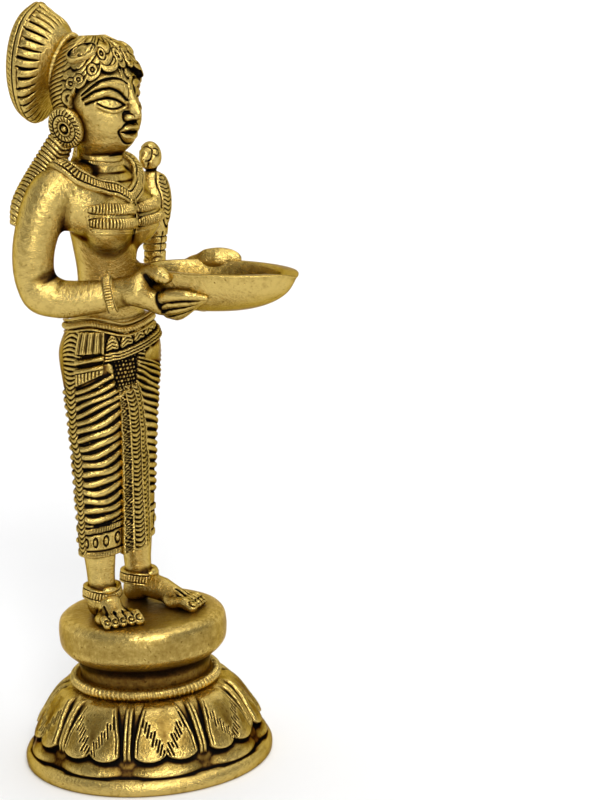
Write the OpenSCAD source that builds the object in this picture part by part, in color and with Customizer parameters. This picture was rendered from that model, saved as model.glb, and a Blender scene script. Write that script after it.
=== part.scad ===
// Standing lamp bearer in cast brass: a figure on a lotus base holds a leaf-shaped oil bowl.
// Millimetres. +Z is up, the figure faces -Y and its left hand is on the +X side.
// The origin is the centre of the base, on the surface that the lamp stands on.

/* [Lotus base] */
// Diameter of the foot rim
base_d = 66; // [58:1:76]
// Height of the lotus base up to the seat of the plinth
base_h = 20.5; // [17:0.5:25]
// Diameter of the seat on top of the base
seat_d = 38; // [35:0.5:42]
// Height of the plain rim below the petals
rim_h = 4; // [3:0.5:6]
// Wall of the hollow base
base_wall = 3; // [2:0.25:4]
// Number of lotus petals round the base
petal_n = 9; // [7:1:11]
// Turn of the ring of petals about the axis of the base
petal_turn = 18; // [0:1:40]
// How far the petals stand out of the base
petal_relief = 1.3; // [0.8:0.1:1.8]

/* [Rope collar] */
// Thickness of the twisted collar
collar_t = 3.4; // [2.8:0.1:4]
// Number of turns seen on the collar
collar_turns = 48; // [36:1:64]
// Depth of the grooves between the turns
collar_groove = 0.35; // [0.2:0.05:0.5]

/* [Plinth] */
// Diameter of the round plinth
drum_d = 43.6; // [41:0.2:50]
// Height of the round plinth
drum_h = 13.5; // [11:0.5:18]
// Diameter of the neck that stands in the collar
neck_d = 33.6; // [30:0.2:34]
// Height of the neck between base and plinth
neck_h = 6; // [5:0.5:8]
// Diameter of the spigot that sits in the base
spigot_d = 20; // [14:0.5:24]
// Radius of the plinth's upper edge
drum_top_r = 2.5; // [1:0.25:4]
// Radius of the plinth's lower edge
drum_low_r = 4.5; // [2:0.25:5]

/* [Fixing below the plinth] */
// Diameter of the threaded stud
stud_d = 6; // [5:0.5:8]
// Length of the stud that screws into the plinth
stud_grip = 12; // [8:0.5:14]
// Width of the nut across its flats
nut_af = 10; // [9:0.5:13]
// Height of the nut
nut_h = 5; // [3:0.5:6]
// Diameter of the washer
washer_d = 27; // [26:0.5:32]
// Thickness of the washer
washer_t = 1.6; // [1:0.2:2.4]

/* [Figure] */
// Height of the figure from the plinth to the crown
figure_h = 148; // [130:1:170]
// Share of the figure's height below the skirt's hem
hem_share = 0.103; // [0.09:0.001:0.12]
// Share of the figure's height that the skirt takes
skirt_share = 0.427; // [0.4:0.001:0.45]
// Share of the figure's height from the waist to the root of the neck
torso_share = 0.26; // [0.24:0.001:0.28]
// Share of the figure's height from the root of the neck to the chin
throat_share = 0.03; // [0.025:0.001:0.04]

/* [Legs] */
// Distance between the two ankles
ankle_gap = 17; // [16:0.5:20]
// Diameter of the ankle
ankle_d = 7.4; // [6:0.2:8.4]
// Diameter of the shin at the hem
shin_d = 9; // [8:0.2:10]
// Length of the foot
foot_len = 20; // [18:0.5:23]
// Width of the foot at the toes
foot_w = 9.6; // [8:0.2:11]
// Angle by which the right foot turns out
right_splay = 27; // [10:1:32]
// Angle by which the left foot turns out
left_splay = 16; // [8:1:26]
// How far the ankles stand behind the centre of the plinth
stance_y = 6.8; // [5:0.1:9]
// Sideways place of the feet on the plinth
stance_x = -0.4; // [-2:0.1:2]

/* [Skirt] */
// Width of the skirt at the hem
hem_w = 30.4; // [28:0.2:34]
// Depth of the skirt at the hem
hem_t = 14.2; // [13:0.2:17]
// Width of the skirt at the knees
knee_w = 33; // [30:0.2:36]
// Depth of the skirt at the knees
knee_t = 17.6; // [16:0.2:20]
// Width of the hips
hip_w = 30; // [28:0.2:34]
// Depth of the hips
hip_t = 26; // [23:0.2:29]
// Sideways swing of the hips
hip_sway = 3.4; // [1:0.2:5]
// Distance from one cloth fold to the next
fold_pitch = 2.5; // [2:0.1:3.2]
// Depth of the cloth folds
fold_depth = 0.8; // [0.4:0.1:1.2]
// How far the folds rise towards the front pleat
fold_rise = 7; // [3:0.5:9]
// Height of the woven border at the hem
border_h = 6; // [4:0.5:8]
// Width of the pleat that hangs between the legs
pleat_w = 7; // [5:0.25:9]
// Thickness of the pleat that hangs between the legs
pleat_t = 2.2; // [1.6:0.2:3]

/* [Torso] */
// Width of the waist
waist_w = 16.4; // [15:0.2:19]
// Depth of the waist
waist_t = 14.6; // [13:0.2:17]
// Width of the chest below the shoulders
chest_w = 27; // [25:0.2:30]
// Depth of the chest
chest_t = 17; // [15:0.2:19]
// How far each breast stands out of the chest
bust = 5.4; // [4:0.2:7]
// Sideways lean of the chest
chest_sway = -2; // [-4:0.25:0]
// Diameter of the neck
throat_d = 11.4; // [10:0.2:13]

/* [Head] */
// Width of the head at the temples
head_w = 20.6; // [19:0.2:23]
// Depth of the head from brow to nape
head_t = 21.2; // [20:0.2:24]
// Turn of the face towards its right
head_turn = 12; // [0:1:20]
// How far the nose stands out of the face
nose = 3; // [2:0.1:4]
// Thickness of the hair on the skull
hair_t = 1.3; // [0.8:0.1:2]
// Diameter of the ear discs
earring_d = 9.8; // [8:0.2:12]
// Thickness of the ear discs
earring_t = 2.4; // [1.6:0.2:3]

/* [Hair bun] */
// Height of the fan-shaped bun
bun_h = 32; // [28:0.5:36]
// Width of the bun
bun_w = 23; // [20:0.5:26]
// Depth of the bun from its ring to its back
bun_t = 10; // [8:0.5:13]
// Upward tilt of the bun
bun_tilt = 20; // [10:1:30]
// Number of combed flutes on the bun
bun_flutes = 24; // [18:1:32]
// Thickness of the ring at the bun's root
bun_ring_t = 2.2; // [1.6:0.2:3]
// Thickness of the locks behind the shoulders
lock_t = 5; // [3.5:0.25:6]

/* [Arms and bowl] */
// Diameter of the upper arm
upper_arm_d = 11.4; // [10:0.2:13]
// Diameter of the forearm
forearm_d = 8.4; // [7.4:0.2:9.4]
// Diameter of the wrist
wrist_d = 7.2; // [6:0.2:8]
// Distance between the two elbows
elbow_gap = 38.4; // [36:0.2:44]
// Diameter of a finger
finger_d = 2.6; // [2:0.1:3.2]
// Length of the oil bowl
bowl_len = 42; // [38:0.5:48]
// Width of the oil bowl
bowl_w = 29; // [26:0.5:33]
// Depth of the oil bowl outside
bowl_h = 10.5; // [9:0.5:13]
// Wall of the oil bowl
bowl_wall = 1.8; // [1.2:0.1:2.4]

/* [Ornaments] */
// Height of a ribbed band such as the girdle or a bangle
band_h = 2.2; // [1.6:0.1:3]
// How far a ribbed band stands out of what it lies on
band_t = 1.1; // [0.7:0.1:1.6]
// Height of the parrot from crown to tail tip
parrot_h = 33; // [30:0.5:36]
// Diameter of the parrot's body
parrot_d = 8.6; // [7:0.2:10]

/* [Hidden] */
$fn = 64;
brass = "#c9a548";
dark_brass = "#8a6a2c";
// Clearance between a piece and what it lies on
seat_gap = 0.1;
// Clearance of the spigot in the base and of the stud in the washer
slip_gap = 0.05;
// Points round a ring of the body
sides = 28;

// Heights, from the base up
plinth_z = base_h + neck_h;
ground_z = plinth_z + drum_h;
hem_z = ground_z + figure_h * hem_share;
waist_z = hem_z + figure_h * skirt_share;
torso_h = figure_h * torso_share;
throat_z = waist_z + torso_h;
chin_z = throat_z + figure_h * throat_share;
crown_z = ground_z + figure_h;
head_h = crown_z - chin_z;

// Centre lines of the body
hip_y = stance_y + 0.6;
waist_y = stance_y - 2.6;
head_x = chest_sway - 1;
head_y = waist_y - 1.5;

// Value of a list of stations at height z: smooth through every station, whose first number is its height
function span(s, z, i = 0) = i >= len(s) - 2 || z < s[i + 1][0] ? i : span(s, z, i + 1);
function slope(s, i) = let (a = max(i - 1, 0), b = min(i + 1, len(s) - 1))
    (s[b] - s[a]) / (s[b][0] - s[a][0]);
function station(s, z) =
    let (i = span(s, z), h = s[i + 1][0] - s[i][0], t = (z - s[i][0]) / h, u = 1 - t)
    s[i] * (u * u * (1 + 2 * t)) + slope(s, i) * (h * t * u * u)
    + s[i + 1] * (t * t * (1 + 2 * u)) - slope(s, i + 1) * (h * t * t * u);

// Smooth step from 0 to 1 between two values, and a round hump of unit height
function ease(a, b, v) = let (t = min(1, max(0, (v - a) / (b - a)))) t * t * (3 - 2 * t);
function hump(v, width) = exp(-pow(v / width, 2));
function turn_to(angle, around) = let (d = (angle - around) % 360)
    d > 180 ? d - 360 : d < -180 ? d + 360 : d;

// Closed solid through a stack of rings with equal numbers of points,
// which run counter-clockwise seen from the last ring
module skin(rings, loop = false) {
    n = len(rings[0]);
    m = len(rings);
    function centre(r) = [for (k = [0:2]) [for (p = r) p[k]] * [for (p = r) 1] / n];
    points = concat([for (r = rings) each r], loop ? [] : [centre(rings[0]), centre(rings[m - 1])]);
    walls = [for (i = [0:m - (loop ? 1 : 2)], j = [0:n - 1])
        let (a = i * n, b = ((i + 1) % m) * n, k = (j + 1) % n)
        each [[a + j, b + j, b + k], [a + j, b + k, a + k]]];
    caps = loop ? [] : [for (j = [0:n - 1]) let (k = (j + 1) % n)
        each [[m * n, j, k], [m * n + 1, (m - 1) * n + k, (m - 1) * n + j]]];
    polyhedron(points, concat(walls, caps), convexity = 8);
}

// Angles of the points round a ring
function angles(n) = [for (j = [0:n - 1]) 360 * j / n];

// Round tube of changing radius along a path whose stations are [number, x, y, z, radius]
function tube_rings(path, steps, n, ref = [1, 0, 0]) =
    let (last = path[len(path) - 1][0])
    [for (i = [0:steps])
        let (v = last * i / steps, s = station(path, v),
            a = station(path, max(v - 0.01, 0)), b = station(path, min(v + 0.01, last)),
            d = [b[1] - a[1], b[2] - a[2], b[3] - a[3]], t = d / norm(d),
            w = cross(t, ref), side = w / norm(w), up = cross(side, t))
        [for (q = angles(n)) [s[1], s[2], s[3]] + s[4] * (cos(q) * up + sin(q) * side)]];

// Surfaces of the body: the point at an angle round the body and a height, lifted off by an amount

// Skirt: an oval at the hips that parts into two legs towards the hem
knee_z = hem_z + 28;
hip_z = waist_z - 9.5;
skirt_stations = [
    [hem_z, hem_w / 2, hem_t / 2, stance_x * 0.8 + hip_sway * 0.2, stance_y, 0.56],
    [knee_z, knee_w / 2, knee_t / 2, stance_x * 0.3 + hip_sway * 0.7, stance_y + 0.2, 0.62],
    [hip_z - 9, hip_w / 2 + 0.8, hip_t / 2 - 1.6, hip_sway, hip_y, 0.2],
    [hip_z, hip_w / 2, hip_t / 2, hip_sway, hip_y, 0],
    [waist_z - 3, waist_w / 2 + 3.8, waist_t / 2 + 3, 0.5 * hip_sway, hip_y - 1.4, 0],
    [waist_z, waist_w / 2 + 2.4, waist_t / 2 + 1.6, 0, waist_y + 0.8, 0]];
function skirt_at(q, z, lift = 0) =
    let (s = station(skirt_stations, min(max(z, hem_z), waist_z)), cleft = 1 - s[5] * pow(abs(sin(q)), 9))
    [s[3] + (s[1] * cleft + lift) * cos(q), s[4] + (s[2] * cleft + lift) * sin(q), z];

// Torso: narrow waist, full chest, shoulders that slope to the neck
torso_stations = [
    [waist_z, waist_w / 2 + 2.4, waist_t / 2 + 1.6, 0, waist_y + 0.8],
    [waist_z + 4.6, waist_w / 2 + 0.6, waist_t / 2 + 0.3, chest_sway * 0.4, waist_y + 0.3],
    [waist_z + 12, waist_w / 2, waist_t / 2, chest_sway * 0.75, waist_y],
    [waist_z + 18.6, waist_w / 2 + 1.6, waist_t / 2 + 0.6, chest_sway * 0.9, waist_y - 0.3],
    [throat_z - 12, chest_w / 2 - 1, chest_t / 2, chest_sway, waist_y - 0.6],
    [throat_z - 6, chest_w / 2, chest_t / 2 - 0.6, chest_sway, waist_y - 0.4],
    [throat_z - 2, chest_w / 2 - 2.6, chest_t / 2 - 2, chest_sway - 0.4, waist_y - 0.4],
    [throat_z, throat_d / 2 + 0.6, throat_d / 2 + 0.3, head_x, head_y + 1.2]];
bust_z = throat_z - 13;
// Half the distance between the flat faces where the arms are joined on
shoulder_x = chest_w / 2 - 1.2;
function breast(q, z) = bust * hump(z - bust_z, 6)
    * (hump(turn_to(q, 228), 25) + hump(turn_to(q, 312), 25));
function torso_at(q, z, lift = 0) =
    let (s = station(torso_stations, min(max(z, waist_z), throat_z)), out = breast(q, z) + lift,
        flat = shoulder_x + lift, x = s[3] + (s[1] + out) * cos(q) - chest_sway)
    [chest_sway + min(max(x, -flat), flat), s[4] + (s[2] + out) * sin(q), z];

// Head: throat, jaw, face and skull as one surface, with the face's features as humps
head_z = chin_z + head_h * 0.5;
head_stations = [
    [throat_z, throat_d / 2 + 0.6, throat_d / 2 + 0.3, 1.2],
    [chin_z - 1.5, throat_d / 2, throat_d / 2, 0.9],
    [chin_z + 1.2, head_w / 2 - 4.4, head_t / 2 - 3.6, -1.2],
    [chin_z + 7, head_w / 2 - 1.8, head_t / 2 - 1, -0.8],
    [head_z, head_w / 2, head_t / 2, 0],
    [crown_z - 8, head_w / 2 - 1, head_t / 2 - 0.6, 0.4],
    [crown_z - 2.6, head_w / 2 - 4.4, head_t / 2 - 4.4, 0.8],
    [crown_z, 1.2, 1.4, 1]];
nose_z = chin_z + 9.2;
function turned(p, z) = [head_x + p[0] * cos(head_turn) + p[1] * sin(head_turn),
    head_y - p[0] * sin(head_turn) + p[1] * cos(head_turn), z];
function face(q, z) = let (d = turn_to(q, 270))
    nose * hump(d, 8) * (hump(z - nose_z, 1.7) + 0.55 * hump(z - nose_z - 3.2, 2.6))
    + 1.3 * hump(d, 17) * (hump(z - nose_z + 4.1, 1) + 0.9 * hump(z - nose_z + 6, 1))
    + 1.2 * hump(d, 20) * hump(z - chin_z - 1.6, 1.5)
    + 0.5 * (hump(turn_to(q, 236), 15) + hump(turn_to(q, 304), 15)) * hump(z - nose_z - 3, 1.4)
    - 0.6 * hump(abs(d) - 34, 20) * hump(z - nose_z - 5.4, 1.3);
function head_at(q, z, lift = 0) =
    let (s = station(head_stations, min(max(z, throat_z), crown_z)), out = face(q, z) + lift)
    turned([(s[1] + out) * cos(q), s[3] + (s[2] + out) * sin(q)], z);

// Band round a surface between two heights, which may change with the angle, over a range of angles
function swing(q, drop) = drop * pow(max(0, -sin(q)), 2);
module patch(surface, from, to, low, high, thick, n, gap = seat_gap) {
    rows = 2;
    function grid(lift, order) = [for (i = order) [for (j = [0:n])
        let (q = from + (to - from) * j / n) surface_at(surface, q, low + (high - low) * i / rows, lift)]];
    outer = grid(gap + thick, [0:rows]);
    inner = grid(gap, [rows:-1:0]);
    skin_sheet(concat(outer, inner));
}
// Closed solid from rows of points that go up the outer face and down the inner face of a patch
module skin_sheet(rows) {
    m = len(rows);
    n = len(rows[0]);
    points = [for (r = rows) each r];
    walls = [for (i = [0:m - 1], j = [0:n - 2]) let (a = i * n, b = ((i + 1) % m) * n)
        each [[a + j, b + j, b + j + 1], [a + j, b + j + 1, a + j + 1]]];
    half = m / 2;
    ends = [for (i = [0:half - 2]) let (a = i * n, b = a + n, c = (m - 1 - i) * n, d = c - n)
        each [[a, c, d], [a, d, b], [a + n - 1, d + n - 1, c + n - 1], [a + n - 1, b + n - 1, d + n - 1]]];
    polyhedron(points, concat(walls, ends), convexity = 6);
}
function surface_at(name, q, z, lift) =
    name == "skirt" ? skirt_at(q, z, lift) :
    name == "torso" ? torso_at(q, z, lift) : head_at(q, z, lift);

// Ribbed ring round a surface at a height that may dip towards the front
module ribbed_band(surface, z, dip, ribs, gap = seat_gap) {
    n = 2 * ribs;
    function loop(dz, lift, groove) = [for (j = [0:n - 1]) let (q = 360 * j / n)
        surface_at(surface, q, z + dz - swing(q, dip), lift - (j % 2) * groove)];
    groove = band_t * 0.3;
    skin([loop(-band_h / 2, gap, 0), loop(-band_h * 0.4, gap + band_t * 0.8, groove),
        loop(band_h * 0.4, gap + band_t * 0.8, groove), loop(band_h / 2, gap, 0)], loop = true);
}

// Ring of a round bar around a limb
module bar_ring(hole_d, bar_d) rotate_extrude()
    translate([(hole_d + bar_d) / 2 + seat_gap, 0]) circle(d = bar_d);

// Lotus base

// Height of the base's dome at a radius, and the outline of the dome with a gap inside it
dome_steps = 10;
dome_lip = 2.4;
function dome(r, inset = 0) = let (a = (r - seat_d / 2 + inset) / (base_d / 2 - dome_lip - seat_d / 2))
    rim_h + (base_h - rim_h) * (1 - pow(max(0, min(1, a)), 1.9)) - inset;
module dome_outline(inset) {
    r0 = seat_d / 2 - inset;
    r1 = base_d / 2 - dome_lip - inset;
    curve = [for (i = [0:dome_steps]) let (r = r0 + (r1 - r0) * i / dome_steps) [r, dome(r, inset)]];
    polygon(concat([[0, 0]], [[r1, 0]], [for (i = [dome_steps:-1:0]) curve[i]], [[0, dome(r0, inset)]]));
}
module foot_rim() {
    translate([base_d / 2 - rim_h / 2, rim_h / 2]) circle(d = rim_h);
    translate([base_d / 2 - dome_lip - base_wall, 0]) square([dome_lip + base_wall - rim_h / 2, rim_h]);
    translate([base_d / 2 - rim_h / 2 - 0.5, 0]) square([1.6, rim_h / 2]);
}
// One petal seen from the side: narrow at the seat, two round lobes at the bottom
module petal_face() {
    half = PI * (base_d / 2 - dome_lip - 1) / petal_n * 0.9;
    low = rim_h + 2.6;
    lobe = half * 0.5;
    lobe_z = low + lobe;
    side = concat([[half * 0.3, base_h], [half * 0.72, base_h * 0.82], [half * 0.96, lobe_z + lobe * 0.6]],
        [for (a = [0:-22.5:-157.5]) [half - lobe + lobe * cos(a), lobe_z + lobe * sin(a)]]);
    polygon(concat(side, [[0, lobe_z - lobe * 0.1]],
        [for (i = [len(side) - 1:-1:0]) [-side[i][0], side[i][1]]]));
}
module lotus_base() color(brass) difference() {
    union() {
        rotate_extrude() difference() {
            union() {
                dome_outline(0);
                foot_rim();
            }
            dome_outline(base_wall);
        }
        intersection() {
            rotate_extrude() difference() {
                dome_outline(-petal_relief);
                dome_outline(base_wall / 2);
                translate([0, base_h]) square([base_d, base_h]);
            }
            for (i = [0:petal_n - 1])
                rotate([90, 0, 90 + petal_turn + 360 * i / petal_n]) linear_extrude(base_d) petal_face();
        }
    }
    translate([0, 0, base_h / 2]) cylinder(d = spigot_d + 2 * slip_gap, h = base_h);
}

// Twisted collar that hides the joint between base and plinth
module rope_collar() color(brass) {
    ring_r = neck_d / 2 + seat_gap + collar_t / 2 / cos(30);
    bar_sides = 6;
    n = 2 * collar_turns;
    skin([for (k = [0:bar_sides - 1]) let (a = 360 * k / bar_sides)
        [for (j = [0:n - 1])
            let (r = collar_t / 2 / cos(180 / bar_sides) - (j % 2) * collar_groove, q = 360 * (j + k / 3) / n,
                w = ring_r + r * cos(a))
            [w * cos(q), w * sin(q), base_h + collar_t / 2 + r * sin(a)]]], loop = true);
}

// Round plinth with its neck and the spigot that drops into the base
module plinth_outline() {
    r = drum_d / 2;
    square([spigot_d / 2, base_h]);
    translate([0, base_h]) square([neck_d / 2, neck_h]);
    translate([0, plinth_z]) square([r - drum_low_r, drum_low_r]);
    translate([r - drum_low_r, plinth_z + drum_low_r]) circle(r = drum_low_r);
    translate([0, plinth_z + drum_low_r]) square([r, drum_h - drum_low_r - drum_top_r]);
    translate([r - drum_top_r, ground_z - drum_top_r]) circle(r = drum_top_r);
    translate([0, ground_z - drum_top_r]) square([r - drum_top_r, drum_top_r]);
}
roof_z = dome(seat_d / 2 - base_wall, base_wall);
module plinth() color(brass) difference() {
    rotate_extrude() plinth_outline();
    translate([0, 0, roof_z + slip_gap - base_h]) cylinder(d = drum_d, h = base_h);
    translate([0, 0, roof_z - 1]) cylinder(d = stud_d + 2 * slip_gap, h = stud_grip + 1 + seat_gap);
}

// Stud, washer and nut that pull the plinth down on the base
stud_end = 2;
module fixing_stud() color(dark_brass)
    translate([0, 0, roof_z - washer_t - nut_h - stud_end])
        cylinder(d = stud_d, h = stud_grip + washer_t + nut_h + stud_end);
module fixing_washer() color(dark_brass) translate([0, 0, roof_z - washer_t]) difference() {
    cylinder(d = washer_d, h = washer_t);
    translate([0, 0, -1]) cylinder(d = stud_d + 2 * slip_gap, h = washer_t + 2);
}
module fixing_nut() color(dark_brass) translate([0, 0, roof_z - washer_t - nut_h]) difference() {
    cylinder(d = nut_af / cos(30), h = nut_h, $fn = 6);
    translate([0, 0, -1]) cylinder(d = stud_d + 2 * slip_gap, h = nut_h + 2);
}

// Legs below the hem, with feet that stand flat on the plinth
leg_x = ankle_gap / 2;
ankle_z = ground_z + 6.4;
heel_back = 3.4;
module leg(side) color(brass) translate([stance_x + side * leg_x, stance_y, 0])
    rotate([0, 0, side > 0 ? left_splay : -right_splay]) intersection() {
        union() {
            skin([for (i = [0:6]) let (t = i / 6, z = ankle_z - 2 + (hem_z - ankle_z + 2) * t,
                    d = ankle_d + (shin_d - ankle_d) * t * t)
                [for (q = angles(14)) [d / 2 * cos(q), d / 2 * sin(q), z]]]);
            foot(side);
        }
        translate([-foot_len, -2 * foot_len, ground_z])
            cube([2 * foot_len, 4 * foot_len, hem_z - ground_z]);
    }
toe_n = 5;
module foot(side) {
    ball_y = heel_back - foot_len + 5.2;
    ball_w = foot_w / 2 - 2.2;
    instep_y = -2;
    hull() {
        translate([0, heel_back - ankle_d / 2, ground_z + 2]) sphere(d = ankle_d - 0.4, $fn = 12);
        translate([0, 0, ankle_z - 1]) sphere(d = ankle_d - 0.2, $fn = 12);
        translate([0, instep_y, ankle_z - 2]) sphere(d = ankle_d - 1.6, $fn = 12);
    }
    hull() {
        translate([0, 0, ankle_z - 2]) sphere(d = ankle_d - 1.2, $fn = 12);
        for (s = [-1, 1]) translate([s * ball_w, ball_y, ground_z + 1]) sphere(d = 4.4, $fn = 12);
    }
    hull() {
        translate([0, heel_back - 2, ground_z + 0.6]) sphere(d = ankle_d - 1.6, $fn = 12);
        for (s = [-1, 1]) translate([s * ball_w, ball_y, ground_z + 0.6]) sphere(d = 4.6, $fn = 12);
    }
    for (k = [0:toe_n - 1]) {
        u = (k / (toe_n - 1) - 0.5) * 2;
        toe_d = side * u < -0.9 ? 2.8 : 2.1;
        tip = ball_y - 3.4 - 1.6 * (1 - u * side) / 2;
        hull() {
            translate([u * (foot_w / 2 - 1.1), ball_y + 1, ground_z + 1.1]) sphere(d = toe_d, $fn = 10);
            translate([u * (foot_w / 2 - 1.3), tip, ground_z + 0.8]) sphere(d = toe_d, $fn = 10);
        }
    }
}
module anklet(side) color(brass) translate([stance_x + side * leg_x, stance_y, ankle_z + 0.7])
    for (k = [0, 1]) translate([0, 0, k * (band_h - 0.4)]) bar_ring(ankle_d + 1.4 - k, band_h - 0.5);

// Skirt with its folds: rings run along the ridges and valleys of the cloth
fold_low = hem_z + border_h;
fold_high = hip_z - 2.5;
fold_n = floor((fold_high - fold_low) / fold_pitch);
skirt_sides = 32;
function fold_ring(z, lift) = [for (q = angles(skirt_sides))
    let (rise = fold_rise * pow(abs(sin(q)), 4) * ease(0, 8, z - fold_low) * ease(0, 16, fold_high + 6 - z))
    skirt_at(q, z + rise * 0.5, lift)];
module skirt() color(brass) {
    plain_low = [for (z = [hem_z, hem_z + border_h * 0.25, hem_z + border_h * 0.3, hem_z + border_h * 0.75,
        hem_z + border_h * 0.8]) fold_ring(z, z == hem_z || z == hem_z + border_h * 0.25 ? 0.5 : 0)];
    folds = [for (i = [0:fold_n - 1], k = [0, 1])
        fold_ring(fold_low + (i + k / 2) * (fold_high - fold_low) / fold_n, (k - 0.5) * fold_depth)];
    plain_high = [for (i = [0:5]) fold_ring(fold_high + (waist_z - fold_high) * i / 5, 0)];
    skin(concat(plain_low, folds, plain_high));
}

// Pleat that hangs in the cleft between the legs, in a zigzag of tucks
pleat_top = hip_z - 8;
pleat_tucks = 20;
function pleat_row(z, lift) = let (t = (z - hem_z) / (pleat_top - hem_z), half = pleat_w * (2.7 - 1.5 * t))
    [for (j = [-2:2]) skirt_at(270 + half * j / 2, z, fold_depth / 2 + 3 * seat_gap + lift * (1 - 0.06 * j * j))];
module front_pleat() color(brass) {
    rows = 2 * pleat_tucks;
    heights = [for (i = [0:rows]) hem_z + (pleat_top - hem_z) * i / rows];
    skin_sheet(concat([for (i = [0:rows]) pleat_row(heights[i], pleat_t - (i % 2) * 0.5)],
        [for (i = [rows:-1:0]) pleat_row(heights[i], 0)]));
}

// Rope girdle on the waist
module girdle() color(brass) ribbed_band("skirt", waist_z - band_h / 2 - 0.4, 1.6, 30);

// Clearance over the ridges of the cloth
fold_gap = fold_depth / 2 + 2 * seat_gap;
// Sash knots on the hips: a pleated panel above two rolls and a fringe
module hip_sash(side) color(brass) {
    q = side > 0 ? 350 : 190;
    half = 18;
    for (k = [0:3]) patch("skirt", q - half + k * half / 2 + 0.6, q - half + (k + 1) * half / 2 - 0.6,
        waist_z - 11.4, waist_z - 3.6, band_t, 2, 2 * seat_gap);
    for (k = [0, 1])
        patch("skirt", q - half, q + half, waist_z - 14 - k * 2.6, waist_z - 12 - k * 2.6, band_t, 5, fold_gap);
}

// Torso
torso_rows = 20;
module torso() color(brass) skin([for (i = [0:torso_rows]) let (z = waist_z + torso_h * i / torso_rows)
    [for (q = angles(sides)) torso_at(q, z)]]);

// Two ribbed bands over each breast
module bodice_bands(side) color(brass) {
    q = side > 0 ? 312 : 228;
    half = 40;
    for (k = [-1, 1]) patch("torso", q - half, q + half, bust_z + k * 1.5 - band_h / 2 + 0.1,
        bust_z + k * 1.5 + band_h / 2 - 0.1, band_t * 0.8, 12);
}
module necklace() color(brass) ribbed_band("torso", throat_z - 1.2, 4.2, 32, 4 * seat_gap);
module choker() color(brass) ribbed_band("head", throat_z + band_h / 2 + 0.6, 0, 26);

// Head and hair
head_rows = 26;
head_sides = 32;
module head() color(brass) skin([for (i = [0:head_rows])
    let (t = 1 - i / head_rows, z = throat_z + (crown_z - throat_z) * (1 - pow(t, 1.25)))
    [for (q = angles(head_sides)) head_at(q, z)]]);
// Lower edge of the hair: high on the brow, low at the nape
function hairline(q) = chin_z + head_h * (0.36 + 0.34 * ease(30, 62, 90 - abs(turn_to(q, 270))));
cap_rows = 8;
hair_gap = 4 * seat_gap;
function cap_ring(i, lift) = [for (q = angles(head_sides))
    let (t = i / cap_rows, z = hairline(q) + (crown_z - hairline(q)) * pow(t, 0.8))
    head_at(q, z, lift) + [0, 0, lift * t * t]];
module hair_cap() color(brass) skin(concat([for (i = [cap_rows:-1:0]) cap_ring(i, hair_gap)],
    [for (i = [0:cap_rows]) cap_ring(i, hair_gap + hair_t)]));
// Puts a child on the head at an angle and height, its own up turned away from the head
module on_head(q, z, lift) {
    p = head_at(q, z, lift);
    across = head_at(q + 1, z, lift) - head_at(q - 1, z, lift);
    n = cross(across, head_at(q, z + 0.2, lift) - head_at(q, z - 0.2, lift));
    translate(p) rotate([0, acos(n[2] / norm(n)), atan2(n[1], n[0])]) children();
}
module hair_brooch(side) color(brass)
    on_head(side > 0 ? -16 : 196, crown_z - 6.5, hair_t + hair_gap + 4 * seat_gap) difference() {
    cylinder(d1 = 6.6, d2 = 5.8, h = 1);
    for (k = [0:3]) rotate([0, 0, 90 * k + 45]) translate([1.6, 0, 0.5]) cylinder(d = 1.6, h = 1);
}
module earring(side) color(brass) on_head(side > 0 ? 14 : 166, chin_z + 6.6, hair_t + hair_gap + seat_gap) {
    cylinder(d = earring_d, h = earring_t * 0.6);
    translate([0, 0, earring_t * 0.6]) rotate_extrude() polygon([[0, 0], [earring_d * 0.42, 0],
        [earring_d * 0.34, earring_t * 0.2], [earring_d * 0.16, earring_t * 0.1], [0, earring_t * 0.4]]);
}

// Fan-shaped bun: a fluted bell that opens backwards from its ring and closes in a flat dome
bun_root = [head_x + 0.8, head_y + head_t / 2 + 0.7, chin_z + head_h * 0.69];
bun_stations = [
    [0, 0.52], [bun_t * 0.12, 0.6], [bun_t * 0.35, 0.84], [bun_t * 0.58, 0.98], [bun_t * 0.72, 1],
    [bun_t * 0.84, 0.9], [bun_t * 0.95, 0.6], [bun_t, 0.2]];
module place_bun() translate(bun_root) rotate([-90 + bun_tilt, 0, 0])
    translate([0, 0, hair_t + 0.4]) children();
module hair_bun() color(brass) place_bun() skin([for (s = bun_stations)
    [for (j = [0:2 * bun_flutes - 1]) let (q = 180 * j / bun_flutes,
            f = 1 - (j % 2) * 0.06 * ease(0, bun_t * 0.2, s[0]) * ease(0, bun_t * 0.2, bun_t * 0.8 - s[0]))
        [bun_w / 2 * s[1] * f * cos(q), bun_h / 2 * s[1] * f * sin(q), s[0]]]]);
module bun_ring() color(brass) place_bun() {
    n = 40;
    skin([for (k = [[0.5, -0.7], [0.35, -0.1], [-0.5, 0], [-0.3, -0.75]])
        [for (j = [0:n - 1]) let (q = 360 * j / n, w = k[0] * bun_ring_t - (j % 2) * 0.2)
            [(bun_w / 2 * 0.52 + w) * cos(q), (bun_h / 2 * 0.52 + w) * sin(q), k[1] * bun_ring_t - seat_gap]]],
        loop = true);
}

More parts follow.
